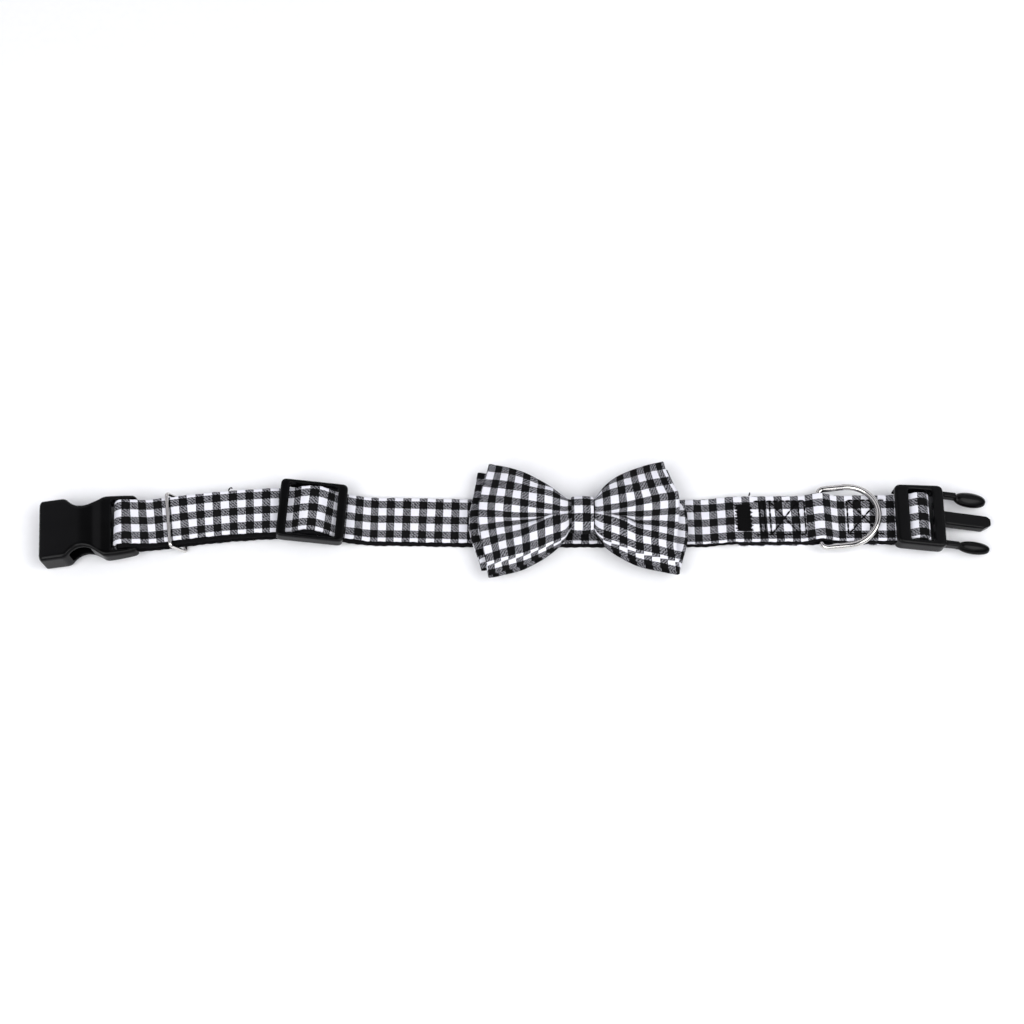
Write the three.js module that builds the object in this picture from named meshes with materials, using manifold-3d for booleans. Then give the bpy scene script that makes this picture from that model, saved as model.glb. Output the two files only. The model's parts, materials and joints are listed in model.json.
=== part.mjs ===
// Pet bow tie collar, lying open and flat: a gingham-faced webbing strap with a
// side-release buckle, a keeper ring, a slider, a D-ring and a two-layer bow.
// Millimetres, +Z up, +X from the buckle's socket to its prongs. The surface
// that it lies on is z = 0, and the origin is under the strap's middle.
import * as THREE from 'three';
import { mergeVertices } from 'three/addons/utils/BufferGeometryUtils.js';
import Module from 'manifold-3d';

const wasm = await Module();
wasm.setup();

// Driving sizes: the strap
const STRAP_WIDTH = 20;
const WEBBING_THICK = 1.1;
const FACE_THICK = 1.0;
const SEWN_GAP = 0.2; // between the webbing and the face sewn on it
const FIT_GAP = 0.3; // between pieces that touch
const CUT_END_X = 84.7; // where the folded-back end of the strap stops
const RUN_GAP = 1.6; // between the lower and the upper run, from socket to slider

// Driving sizes: the buckle's socket
const SOCKET_BAR_X = -148.8;
const SOCKET_BAR_RADIUS = 1.2;
const SOCKET_LENGTH = 36.3;
const SOCKET_HALF_WIDTH = 12.4;
const SOCKET_HEIGHT = 10;
const SOCKET_WALL = 1.7;
const SOCKET_FLOOR = 2;
const SOCKET_REAR = 7.5; // solid plastic between the hollow and the strap's slot
const SOCKET_ARM_LENGTH = 9.3;
const SOCKET_BAR_INSET = 5.1; // from the arms' ends back to the bar's axis
const SOCKET_BAR_HEIGHT = 3.8; // the bar's axis above the socket's underside
const SOCKET_PITCH = THREE.MathUtils.degToRad(7); // the mouth rests on the table, lower than the strap

// Driving sizes: the keeper ring
const KEEPER_X = -129.5;
const KEEPER_WIRE = 1.3;
const KEEPER_LEAN = THREE.MathUtils.degToRad(32);
const KEEPER_SIDE_PLAY = 0.6;

// Driving sizes: the slider
const SLIDER_X = -77.5;
const SLIDER_LENGTH = 25.6;
const SLIDER_RAIL = 3.5;
const SLIDER_THICK = 2.6;
const SLIDER_DEPTH = 5.2;
const SLIDER_SIDE = 1.5;
const SLIDER_BAR_RADIUS = 1.1;
const SLIDER_LIFT = 0.6; // the sewn wrap stands this far above the lower run
const SLIDER_PITCH = THREE.MathUtils.degToRad(8.2);

// Driving sizes: the D-ring
const RING_X = 116;
const RING_WIRE = 2.4;
const RING_DEPTH = 22.2;
const RING_CORNER = 2.4;
const RING_SIDE_PLAY = 1;

// Driving sizes: the buckle's prongs
const PRONG_BAR_X = 153.4;
const PRONG_BAR_RADIUS = 1.3;
const PRONG_PITCH = THREE.MathUtils.degToRad(6);
const PRONG_DROOP = THREE.MathUtils.degToRad(7.5); // the prongs bend down from the frame
const PRONG_BAR_Z = 7.1; // the frame stands on its prongs' tips
const FRAME_REAR = 10; // from the bar's axis back to the frame's strap end
const FRAME_FRONT = 9;
const FRAME_RAIL = 5.3;
const FRAME_NOSE = 4.4;
const FRAME_WALL = 1.7;
const FRAME_FLARE = 0.7; // each side's extra width at the prong end
const FRAME_TOP = 3.5;
const FRAME_BOTTOM = 2.8;
const RAIL_THICK = 2.1;
const PRONG_REACH = 28;
const PRONG_SPACING = 10.2;
const STEM_WIDTH = 2.1;
const STEM_TOP = 1.9;
const STEM_BOTTOM = 1.5;
const LEAF_LENGTH = 12.5;
const LEAF_HALF_WIDTH = 2.5;
const TONGUE_HALF_WIDTH = 2.7;
const TONGUE_TOP = 2.4;
const TONGUE_BOTTOM = 1.7;

// Driving sizes: the bow
const BOW_X = 24.4;
const BOW_Y = -1.6;
const BOW_CLOTH = 1.0;
const BOW_PINCH_WIDTH = 12.6;
const BOW_PINCH_REACH = 1.5; // the cloth stays pinched this far past the band
const BOW_END_WIDTH = 44;
const BOW_PLEAT = 1.0;
const FRONT_HALF_LENGTH = 38.4;
const BACK_HALF_LENGTH = 41.6;
const BOW_PUFF = 3.0; // how far the wings' cloth swells out from the pinch
const BAND_WIDTH = 8.5;
const BAND_CLOTH = 1.0;
const BAND_CORNER = 1.6;
const BAND_PLAY = 0.6; // between the pinched cloth and the band's sides

// Colours, roughness and metalness
const FINISH = {
  cloth: { color: 0xb9b9bb, roughness: 0.95, metalness: 0 },
  webbing: { color: 0x121213, roughness: 0.9, metalness: 0 },
  plastic: { color: 0x0d0d0e, roughness: 0.42, metalness: 0 },
  steel: { color: 0xb8b4ac, roughness: 0.22, metalness: 1 },
};

// How far the strap's middle strays sideways, as shares of the strap's width
const SWAY = [
  { x: -180, side: -0.275 },
  { x: -165, side: -0.26 },
  { x: -149, side: -0.23 },
  { x: -134, side: -0.125 },
  { x: -120, side: -0.03 },
  { x: -105, side: 0.045 },
  { x: -90, side: 0.085 },
  { x: -77, side: 0.068 },
  { x: -64, side: 0.02 },
  { x: -45, side: 0.01 },
  { x: -18, side: -0.015 },
  { x: 70, side: -0.015 },
  { x: 108, side: 0.005 },
  { x: 127, side: 0.01 },
  { x: 144, side: -0.035 },
  { x: 163, side: -0.06 },
  { x: 180, side: -0.08 },
];
const swayCurve = new THREE.CatmullRomCurve3(
  SWAY.map((row) => new THREE.Vector3(row.x, row.side * STRAP_WIDTH, 0)));
const swayPoints = swayCurve.getPoints(SWAY.length * 12);

// The strap's middle line at x: its sideways place and its turn about Z
function sway(x) {
  let i = 1;
  while (i < swayPoints.length - 1 && swayPoints[i].x < x) i += 1;
  const [a, b] = [swayPoints[i - 1], swayPoints[i]];
  const slope = (b.y - a.y) / (b.x - a.x);
  return { y: a.y + slope * (x - a.x), turn: Math.atan(slope) };
}

// A point beside the strap's middle line, square to it
function beside(x, across, z) {
  const { y, turn } = sway(x);
  return [x - across * Math.sin(turn), y + across * Math.cos(turn), z];
}

// Heights that follow from the strap's layers and the bars that it wraps
const HALF_SEAM = SEWN_GAP / 2;
const WEBBING_OUT = HALF_SEAM + WEBBING_THICK; // from the seam to the webbing's back
const FACE_OUT = HALF_SEAM + FACE_THICK; // from the seam to the face's front
const STRAP_THICK = WEBBING_OUT + FACE_OUT;
const FLOOR_SEAM = WEBBING_OUT; // the seam's height where the strap lies on the floor
const UPPER_SEAM = FLOOR_SEAM + WEBBING_OUT + WEBBING_OUT + SEWN_GAP;
const wrap = (barRadius) => barRadius + SEWN_GAP + WEBBING_OUT;
const SOCKET_WRAP = wrap(SOCKET_BAR_RADIUS);
const SOCKET_BAR_Z = SOCKET_BAR_HEIGHT * Math.cos(SOCKET_PITCH)
  + (SOCKET_LENGTH - SOCKET_BAR_INSET) * Math.sin(SOCKET_PITCH);
const PRONG_WRAP = wrap(PRONG_BAR_RADIUS);
const SLIDER_WRAP = wrap(SLIDER_BAR_RADIUS);
const RUN_LOW = KEEPER_WIRE + SEWN_GAP * 2 + FACE_OUT; // the lower run, over the keeper's wire
const RUN_HIGH = RUN_LOW + STRAP_THICK + RUN_GAP;
const KEEPER_LOW = RUN_LOW - FACE_OUT - SEWN_GAP - KEEPER_WIRE / 2;
const KEEPER_TOP = RUN_HIGH + FACE_OUT + FIT_GAP + KEEPER_WIRE / 2;
const SLIDER_BAR_Z = RUN_LOW + SLIDER_WRAP + SLIDER_LIFT;
const SLIDER_Z = SLIDER_BAR_Z + SLIDER_DEPTH / 2 + 0.2;
const RING_BAR_Z = FLOOR_SEAM + WEBBING_OUT + FIT_GAP + RING_WIRE / 2;
const ARCH = RING_WIRE / 2 + FIT_GAP + WEBBING_OUT;

// A closed body from a list of equal rings of points; the rings are joined in
// order, and the last joins the first when the body closes on itself
function bodyFromRings(rings, closed) {
  const around = rings[0].length;
  const positions = rings.flat(2);
  const index = [];
  const count = closed ? rings.length : rings.length - 1;
  for (let i = 0; i < count; i += 1) {
    const next = (i + 1) % rings.length;
    for (let j = 0; j < around; j += 1) {
      const k = (j + 1) % around;
      const [a, b] = [i * around + j, i * around + k];
      const [c, d] = [next * around + k, next * around + j];
      index.push(a, b, c, a, c, d);
    }
  }
  if (!closed) {
    const last = (rings.length - 1) * around;
    for (let j = 1; j < around - 1; j += 1) {
      index.push(0, j + 1, j);
      index.push(last, last + j, last + j + 1);
    }
  }
  const geometry = new THREE.BufferGeometry();
  geometry.setAttribute('position', new THREE.Float32BufferAttribute(positions, 3));
  geometry.setIndex(index);
  return geometry;
}

// three.js geometry to a manifold solid and back, for the cuts and joins
function solid(geometry) {
  const bare = geometry.clone();
  bare.deleteAttribute('normal');
  bare.deleteAttribute('uv');
  const merged = mergeVertices(bare, 1e-4);
  return new wasm.Manifold(new wasm.Mesh({
    numProp: 3,
    vertProperties: new Float32Array(merged.attributes.position.array),
    triVerts: new Uint32Array(merged.index.array),
  }));
}

function geometryOf(body) {
  const mesh = body.getMesh();
  const geometry = new THREE.BufferGeometry();
  geometry.setAttribute('position', new THREE.BufferAttribute(mesh.vertProperties, 3));
  geometry.setIndex(new THREE.BufferAttribute(mesh.triVerts, 1));
  geometry.computeVertexNormals();
  return geometry;
}

// Solids that the hard pieces are made of
function box(x0, x1, y0, y1, z0, z1) {
  const geometry = new THREE.BoxGeometry(x1 - x0, y1 - y0, z1 - z0);
  return solid(geometry.translate((x0 + x1) / 2, (y0 + y1) / 2, (z0 + z1) / 2));
}

function crossBar(radius, halfLength, x, z) {
  const geometry = new THREE.CylinderGeometry(radius, radius, halfLength * 2, 20);
  return solid(geometry.translate(x, 0, z));
}

// A plan outline raised from z0 to z1 with rounded edges
function plate(shape, z0, z1, edge) {
  const geometry = new THREE.ExtrudeGeometry(shape, {
    depth: z1 - z0 - edge * 2,
    bevelThickness: edge,
    bevelSize: edge,
    bevelOffset: -edge,
    bevelSegments: 2,
    curveSegments: 6,
  });
  return solid(geometry.translate(0, 0, z0 + edge));
}

// A side outline in X and Z, drawn through the full width
function sideCut(shape, halfWidth) {
  const geometry = new THREE.ExtrudeGeometry(shape, { depth: halfWidth * 2, bevelEnabled: false });
  geometry.rotateX(Math.PI / 2);
  return solid(geometry.translate(0, halfWidth, 0));
}

// A trapezium in plan with rounded corners: half widths a at x0 and b at x1
function roundedPlan(x0, x1, a, b, corner) {
  const corners = [[x0, -a], [x1, -b], [x1, b], [x0, a]].map((p) => new THREE.Vector2(...p));
  const shape = new THREE.Shape();
  corners.forEach((here, i) => {
    const before = corners[(i + 3) % 4];
    const after = corners[(i + 1) % 4];
    const from = here.clone().lerp(before, corner / here.distanceTo(before));
    const to = here.clone().lerp(after, corner / here.distanceTo(after));
    if (i === 0) shape.moveTo(from.x, from.y);
    else shape.lineTo(from.x, from.y);
    shape.quadraticCurveTo(here.x, here.y, to.x, to.y);
  });
  shape.closePath();
  return shape;
}

// A side-view route with its corners rounded: rows hold x, z and the radius r
function roundedRoute(rows, longest) {
  const points = rows.map((row) => new THREE.Vector2(row.x, row.z));
  const route = [points[0]];
  const straightTo = (point) => {
    const last = route[route.length - 1];
    const parts = Math.max(1, Math.ceil(last.distanceTo(point) / longest));
    for (let i = 1; i <= parts; i += 1) route.push(last.clone().lerp(point, i / parts));
  };
  for (let i = 1; i < points.length - 1; i += 1) {
    const back = points[i - 1].clone().sub(points[i]).normalize();
    const on = points[i + 1].clone().sub(points[i]).normalize();
    const half = Math.acos(THREE.MathUtils.clamp(back.dot(on), -1, 1)) / 2;
    const reach = rows[i].r / Math.tan(half);
    const start = points[i].clone().addScaledVector(back, reach);
    const centre = points[i].clone().addScaledVector(
      back.clone().add(on).normalize(), rows[i].r / Math.sin(half));
    straightTo(start);
    const side = Math.sign(back.cross(on));
    const sweep = Math.PI - half * 2;
    const steps = Math.max(2, Math.ceil(sweep / 0.4));
    for (let k = 1; k <= steps; k += 1) {
      route.push(start.clone().rotateAround(centre, -side * sweep * k / steps));
    }
  }
  straightTo(points[points.length - 1]);
  return route.filter((p, i) => i === 0 || p.distanceTo(route[i - 1]) > 1e-3);
}

// The normals of a route, to the left of its direction
function leftNormals(route, closed) {
  const n = route.length;
  return route.map((_, i) => {
    const before = route[closed ? (i + n - 1) % n : Math.max(i - 1, 0)];
    const after = route[closed ? (i + 1) % n : Math.min(i + 1, n - 1)];
    const along = after.clone().sub(before).normalize();
    return new THREE.Vector2(-along.y, along.x);
  });
}

// The height of the corner where a straight run from (x, z) turns round a bar:
// the run touches the wrap's circle above (side 1) or below (side -1)
function wrapLine(x, z, barX, barZ, radius, side) {
  const dx = Math.abs(barX - x);
  const dz = barZ - z;
  const rise = Math.atan2(dz, dx) + side * Math.asin(radius / Math.hypot(dx, dz));
  return z + (dx + radius) * Math.tan(rise);
}

// The strap's route in side view, as the seam between webbing and face: from
// the end sewn round the slider's bar, back along the underside to the socket,
// over its bar, along the top through the slider, under the bow, over the
// D-ring's bar, over the prongs' bar and back underneath to the cut end
const wrapLeft = SLIDER_X - SLIDER_WRAP;
const wrapRight = SLIDER_X + SLIDER_WRAP;
const sewnStart = [
  { x: wrapLeft - 5, z: SLIDER_BAR_Z + 0.1 },
  { x: wrapLeft - 1.2, z: SLIDER_BAR_Z + 0.1, r: 1.6 },
  { x: wrapLeft + 1, z: SLIDER_BAR_Z + SLIDER_WRAP, r: 1.9 },
  { x: wrapRight, z: SLIDER_BAR_Z + SLIDER_WRAP, r: SLIDER_WRAP },
  { x: wrapRight, z: SLIDER_BAR_Z - SLIDER_WRAP, r: SLIDER_WRAP },
];
const socketFoot = SOCKET_BAR_X + 10; // where both runs turn up to the socket's bar
const lowerRun = [
  { x: SLIDER_X - 10, z: SLIDER_BAR_Z - SLIDER_WRAP, r: 12 },
  { x: SLIDER_X - 18, z: RUN_LOW, r: 12 },
  { x: socketFoot, z: RUN_LOW, r: 5 },
];
const socketTurn = [-1, 1].map((side) => ({
  x: SOCKET_BAR_X - SOCKET_WRAP,
  z: wrapLine(socketFoot, side < 0 ? RUN_LOW : RUN_HIGH, SOCKET_BAR_X, SOCKET_BAR_Z, SOCKET_WRAP, side),
  r: SOCKET_WRAP,
}));
const crest = SLIDER_WRAP + SEWN_GAP + WEBBING_OUT; // the upper run's seam over the wrapped bar
const upperRun = [
  { x: socketFoot, z: RUN_HIGH, r: 5 },
  { x: SLIDER_X - 7.5, z: RUN_HIGH, r: 4 },
  { x: SLIDER_X + 0.1, z: SLIDER_BAR_Z + crest + 0.9, r: crest },
  { x: SLIDER_X + 8.7, z: SLIDER_BAR_Z - 1.5, r: 3 },
  { x: SLIDER_X + 12.5, z: SLIDER_BAR_Z - 1.9, r: 10 },
  { x: SLIDER_X + 22, z: FLOOR_SEAM, r: 16 },
];
const middleRun = [
  { x: CUT_END_X - 13, z: FLOOR_SEAM, r: 20 },
  { x: CUT_END_X - 2, z: UPPER_SEAM, r: 20 },
];
const archFoot = 6.5; // from the D-ring's bar to the foot of the strap's arch
const archRise = Math.tan(Math.asin(ARCH / archFoot)) * archFoot;
const ringArch = [
  { x: RING_X - archFoot, z: UPPER_SEAM, r: 3 },
  { x: RING_X, z: UPPER_SEAM + archRise, r: ARCH },
  { x: RING_X + archFoot, z: UPPER_SEAM, r: 3 },
];
const riseFoot = RING_X + 10; // where the strap starts to rise to the prongs' bar
const strapRise = (PRONG_BAR_Z - 0.1 - UPPER_SEAM) / (PRONG_BAR_X - PRONG_WRAP * 2 - riseFoot);
const tailFoot = RING_X + 8; // where the folded-back end comes down on the surface
const prongTurn = [
  { x: riseFoot, z: UPPER_SEAM, r: 8 },
  { x: PRONG_BAR_X - PRONG_WRAP * 2, z: PRONG_BAR_Z - 0.1, r: 2 },
  { x: PRONG_BAR_X - PRONG_WRAP * 0.27, z: PRONG_BAR_Z + PRONG_WRAP, r: PRONG_WRAP },
  { x: PRONG_BAR_X + PRONG_WRAP, z: PRONG_BAR_Z + PRONG_WRAP, r: PRONG_WRAP },
  {
    x: PRONG_BAR_X + PRONG_WRAP,
    z: wrapLine(tailFoot, FLOOR_SEAM, PRONG_BAR_X, PRONG_BAR_Z, PRONG_WRAP, -1),
    r: PRONG_WRAP,
  },
  { x: tailFoot, z: FLOOR_SEAM, r: 8 },
  { x: CUT_END_X, z: FLOOR_SEAM },
];
const faceRows = [...lowerRun, ...socketTurn, ...upperRun, ...middleRun, ...ringArch, ...prongTurn];

// One layer of the strap between two distances from the seam
function strapLayer(rows, low, high) {
  const route = roundedRoute(rows, 9);
  const normals = leftNormals(route, false);
  const half = STRAP_WIDTH / 2;
  const rings = route.map((p, i) => {
    const n = normals[i];
    const at = (across, out) => beside(p.x + n.x * out, across, p.y + n.y * out);
    return [at(-half, low), at(half, low), at(half, high), at(-half, high)];
  });
  return bodyFromRings(rings, false);
}

function webbing() {
  return strapLayer([...sewnStart, ...faceRows], -WEBBING_OUT, -HALF_SEAM);
}

function ginghamFace() {
  return strapLayer(faceRows, HALF_SEAM, FACE_OUT);
}

// The buckle's socket, from its mouth at x = 0. Its side in plan: along is a
// share of the hollow body's length, and half is a share of the half width
const SOCKET_BODY = SOCKET_LENGTH - SOCKET_ARM_LENGTH;
const SOCKET_SIDE = [
  { along: 0, half: 0.89 },
  { along: 0.055, half: 1 },
  { along: 0.365, half: 1 },
  { along: 0.41, half: 0.91 },
  { along: 0.47, half: 0.79 },
  { along: 0.54, half: 0.715 },
  { along: 0.64, half: 0.7 },
  { along: 0.71, half: 0.745 },
  { along: 0.79, half: 0.86 },
  { along: 0.865, half: 0.97 },
  { along: 0.92, half: 1.01 },
];

function socketPlan() {
  const side = SOCKET_SIDE.map((row) => [row.along * SOCKET_BODY, row.half * SOCKET_HALF_WIDTH]);
  side.push([SOCKET_LENGTH - 1, 0.95 * SOCKET_HALF_WIDTH], [SOCKET_LENGTH, 0.87 * SOCKET_HALF_WIDTH]);
  const shape = new THREE.Shape();
  shape.moveTo(...side[0]);
  side.slice(1).forEach((p) => shape.lineTo(...p));
  side.reverse().forEach((p) => shape.lineTo(p[0], -p[1]));
  shape.closePath();
  return shape;
}

// The socket's side view: full height at the mouth, stepping down to the arms
function socketSide() {
  const h = SOCKET_HEIGHT;
  const shape = new THREE.Shape();
  shape.moveTo(-1, -1);
  shape.lineTo(SOCKET_LENGTH + 1, -1);
  shape.lineTo(SOCKET_LENGTH + 1, h * 0.56);
  shape.lineTo(SOCKET_BODY * 0.89, h * 0.68);
  shape.lineTo(SOCKET_BODY * 0.78, h * 0.88);
  shape.lineTo(SOCKET_BODY * 0.53, h);
  shape.lineTo(1, h);
  shape.lineTo(-1, h * 0.9);
  shape.closePath();
  return shape;
}

function socket() {
  const inner = STRAP_WIDTH / 2 + 0.4;
  const cavity = SOCKET_HALF_WIDTH - SOCKET_WALL;
  const depth = SOCKET_BODY - SOCKET_REAR;
  const body = plate(socketPlan(), 0, SOCKET_HEIGHT, 1)
    .intersect(sideCut(socketSide(), SOCKET_HALF_WIDTH + 1))
    .subtract(box(SOCKET_BODY, SOCKET_LENGTH + 1, -inner, inner, -1, SOCKET_HEIGHT + 1))
    .subtract(box(-1, depth, -cavity, cavity, SOCKET_FLOOR, SOCKET_HEIGHT - SOCKET_FLOOR));
  const bar = crossBar(SOCKET_BAR_RADIUS, inner + 0.8, SOCKET_LENGTH - SOCKET_BAR_INSET, SOCKET_BAR_HEIGHT);
  return geometryOf(body.add(bar));
}

// The slider: two rails over the strap and a lower bar under it, about its middle
function slider() {
  const half = SLIDER_LENGTH / 2;
  const inner = STRAP_WIDTH / 2 + 0.5;
  const top = SLIDER_THICK / 2;
  const foot = top - SLIDER_DEPTH;
  const width = inner + SLIDER_SIDE;
  const body = plate(roundedPlan(-half, half, width, width, 2.2), foot, top, 0.6)
    .subtract(box(-half + SLIDER_RAIL, half - SLIDER_RAIL, -inner, inner, foot - 1, top + 1))
    .subtract(box(-half - 1, half + 1, -inner, inner, foot - 1, -top));
  const bar = crossBar(SLIDER_BAR_RADIUS, inner + 0.6, 0, SLIDER_BAR_Z - SLIDER_Z);
  return geometryOf(body.add(bar));
}

// The prong half of the buckle, about its hidden bar
function leaf(side) {
  const base = PRONG_REACH - LEAF_LENGTH - 1;
  const shape = new THREE.Shape();
  const w = LEAF_HALF_WIDTH;
  shape.moveTo(base, -w * 0.4);
  shape.quadraticCurveTo(base + LEAF_LENGTH * 0.4, -w * 1.1, base + LEAF_LENGTH * 0.95, -w * 0.3);
  shape.quadraticCurveTo(base + LEAF_LENGTH * 1.02, 0.2, base + LEAF_LENGTH * 0.9, w * 0.6);
  shape.quadraticCurveTo(base + LEAF_LENGTH * 0.5, w * 1.35, base + LEAF_LENGTH * 0.06, w);
  shape.lineTo(base, w * 0.5);
  shape.closePath();
  const body = geometryOf(plate(shape, -STEM_BOTTOM - 0.3, STEM_TOP + 0.3, 0.7));
  if (side > 0) return solid(body.translate(0, PRONG_SPACING, 0));
  body.rotateX(Math.PI);
  body.translate(0, -PRONG_SPACING, STEM_TOP - STEM_BOTTOM);
  return solid(body);
}

function tongue() {
  const w = TONGUE_HALF_WIDTH;
  const shape = new THREE.Shape();
  shape.moveTo(FRAME_FRONT - 1, -w);
  shape.lineTo(PRONG_REACH - 3, -w);
  shape.lineTo(PRONG_REACH, -w * 0.35);
  shape.lineTo(PRONG_REACH, w * 0.6);
  shape.lineTo(PRONG_REACH - 1.6, w);
  shape.lineTo(FRAME_FRONT - 1, w);
  shape.closePath();
  return plate(shape, -TONGUE_BOTTOM, TONGUE_TOP, 0.5);
}

function prongs() {
  const inner = STRAP_WIDTH / 2 + 0.5;
  const width = inner + FRAME_WALL;
  const rail = FRAME_RAIL - FRAME_REAR;
  const nose = FRAME_FRONT - FRAME_NOSE;
  const body = plate(roundedPlan(-FRAME_REAR, FRAME_FRONT, width, width + FRAME_FLARE, 2.6),
    -FRAME_BOTTOM, FRAME_TOP, 0.8)
    .subtract(box(rail, nose, -inner, inner, -FRAME_BOTTOM - 1, FRAME_TOP + 1))
    .subtract(box(-FRAME_REAR - 1, rail + 0.1, -inner, inner, -FRAME_BOTTOM - 1, FRAME_TOP - RAIL_THICK))
    .add(crossBar(PRONG_BAR_RADIUS, inner + 0.8, 0, 0));
  let fingers = tongue();
  [-1, 1].forEach((side) => {
    const near = side * PRONG_SPACING - STEM_WIDTH / 2;
    fingers = fingers
      .add(box(FRAME_FRONT - 1, PRONG_REACH - LEAF_LENGTH, near, near + STEM_WIDTH, -STEM_BOTTOM, STEM_TOP))
      .add(leaf(side));
  });
  fingers = fingers.translate([-FRAME_FRONT, 0, 0])
    .rotate([0, THREE.MathUtils.radToDeg(PRONG_DROOP), 0])
    .translate([FRAME_FRONT, 0, 0]);
  return geometryOf(body.add(fingers));
}

// A closed wire loop through the points of a closed plan outline
function wireLoop(shape, wire, sides, steps) {
  const points = shape.getSpacedPoints(steps).slice(0, -1);
  const curve = new THREE.CatmullRomCurve3(points.map((p) => new THREE.Vector3(p.x, p.y, 0)), true);
  const geometry = new THREE.TubeGeometry(curve, steps, wire / 2, sides, true);
  return geometryOf(solid(geometry));
}

// The D-ring in its own plane: its bar on the Y axis, its bow towards +X
function dRing() {
  const half = STRAP_WIDTH / 2 + RING_SIDE_PLAY + RING_WIRE / 2;
  const shape = new THREE.Shape();
  shape.moveTo(0, 0);
  shape.lineTo(0, -half + RING_CORNER);
  shape.absarc(RING_CORNER, -half + RING_CORNER, RING_CORNER, Math.PI, Math.PI * 1.5, false);
  shape.lineTo(RING_DEPTH - half, -half);
  shape.absarc(RING_DEPTH - half, 0, half, -Math.PI / 2, Math.PI / 2, false);
  shape.lineTo(RING_CORNER, half);
  shape.absarc(RING_CORNER, half - RING_CORNER, RING_CORNER, Math.PI / 2, Math.PI, false);
  shape.lineTo(0, 0);
  return wireLoop(shape, RING_WIRE, 8, 56);
}

// The keeper ring in its own plane: its short sides along X, its bars along Y
function keeperRing() {
  const half = STRAP_WIDTH / 2 + KEEPER_SIDE_PLAY + KEEPER_WIRE / 2;
  const rise = (KEEPER_TOP - KEEPER_LOW) / 2 / Math.cos(KEEPER_LEAN);
  return wireLoop(roundedPlan(-rise, rise, half, half, 1.4), KEEPER_WIRE, 6, 60);
}

// One layer of the bow: a loop of cloth, pinched in the middle. The rows give
// the heights of the two layers' lower and upper cloth out along a wing: out
// is a share of the half length, and the others are shares of the puff
const BOW_PROFILE = [
  { out: 0.14, backLow: 0, backHigh: 0, frontLow: 0, frontHigh: 0 },
  { out: 0.34, backLow: -0.35, backHigh: 0.1, frontLow: 0.15, frontHigh: 0.75 },
  { out: 0.58, backLow: -0.6, backHigh: 0.15, frontLow: 0.25, frontHigh: 1.1 },
  { out: 0.8, backLow: -0.65, backHigh: 0.05, frontLow: 0.2, frontHigh: 1.0 },
  { out: 0.93, backLow: -0.6, backHigh: -0.15, frontLow: 0.1, frontHigh: 0.6 },
];
const SPREAD = BOW_CLOTH + FIT_GAP + 0.1; // between the middles of a layer's two cloths

function bowRoute(halfLength, seat, low, high) {
  const upper = BOW_PROFILE.map((r) => [r.out * halfLength, seat + SPREAD + r[high] * BOW_PUFF]);
  const lower = BOW_PROFILE.map((r) => [r.out * halfLength, seat + r[low] * BOW_PUFF]);
  const tip = (upper[upper.length - 1][1] + lower[lower.length - 1][1]) / 2;
  const fold = BOW_CLOTH * 0.9;
  const end = [-1, 0, 1].map((k) => [halfLength - 0.35 * fold * k * k, tip - fold * k]);
  const right = [...upper, ...end, ...lower.reverse()];
  const left = right.map(([x, z]) => [-x, z]).reverse();
  const points = [...right, [0, seat], ...left, [0, seat + SPREAD]];
  const curve = new THREE.CatmullRomCurve3(points.map(([x, z]) => new THREE.Vector3(x, z, 0)), true);
  return curve.getSpacedPoints(BOW_STEPS).slice(0, -1).map((p) => new THREE.Vector2(p.x, p.y));
}
const BOW_STEPS = 58;
const BOW_ACROSS = 12;

// Where a point of the bow lies: d out along the wing, v across from -1 to 1
function bowPoint(d, v, z, halfLength) {
  const pinched = BAND_WIDTH / 2 + BOW_PINCH_REACH;
  const out = Math.max(0, Math.abs(d) - pinched) / (halfLength - pinched);
  const width = BOW_PINCH_WIDTH + (BOW_END_WIDTH - BOW_PINCH_WIDTH) * Math.pow(out, 0.75);
  const endBow = 1 - 0.09 * v * v * out * out;
  const pleat = BOW_PLEAT * Math.exp(-4 * out * out) * -Math.cos(2 * Math.PI * v);
  return [BOW_X + d * endBow, BOW_Y + v * width / 2, z + pleat];
}

function bowLayer(halfLength, seat, low, high) {
  const route = bowRoute(halfLength, seat, low, high);
  const normals = leftNormals(route, true);
  const rings = route.map((p, i) => {
    const ring = [];
    for (let j = 0; j <= BOW_ACROSS; j += 1) ring.push([-BOW_CLOTH / 2, 2 * j / BOW_ACROSS - 1]);
    for (let j = BOW_ACROSS; j >= 0; j -= 1) ring.push([BOW_CLOTH / 2, 2 * j / BOW_ACROSS - 1]);
    return ring.map(([out, v]) => {
      const d = p.x + normals[i].x * out;
      return bowPoint(d, v, p.y + normals[i].y * out, halfLength);
    });
  });
  return bodyFromRings(rings, true);
}

// The bow's stack of heights over the strap: band, back layer, front layer, band
const STRAP_TOP = FLOOR_SEAM + FACE_OUT;
const BAND_LOW = STRAP_TOP + FIT_GAP;
const BACK_SEAT = BAND_LOW + BAND_CLOTH + FIT_GAP + BOW_PLEAT + BOW_CLOTH / 2;
const LAYER_PITCH = BOW_CLOTH * 2 + FIT_GAP * 2 + 0.1;
const FRONT_SEAT = BACK_SEAT + LAYER_PITCH;
const BAND_HIGH = FRONT_SEAT + LAYER_PITCH - FIT_GAP + BOW_PLEAT + BAND_CLOTH - BOW_CLOTH / 2 + FIT_GAP;

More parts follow.
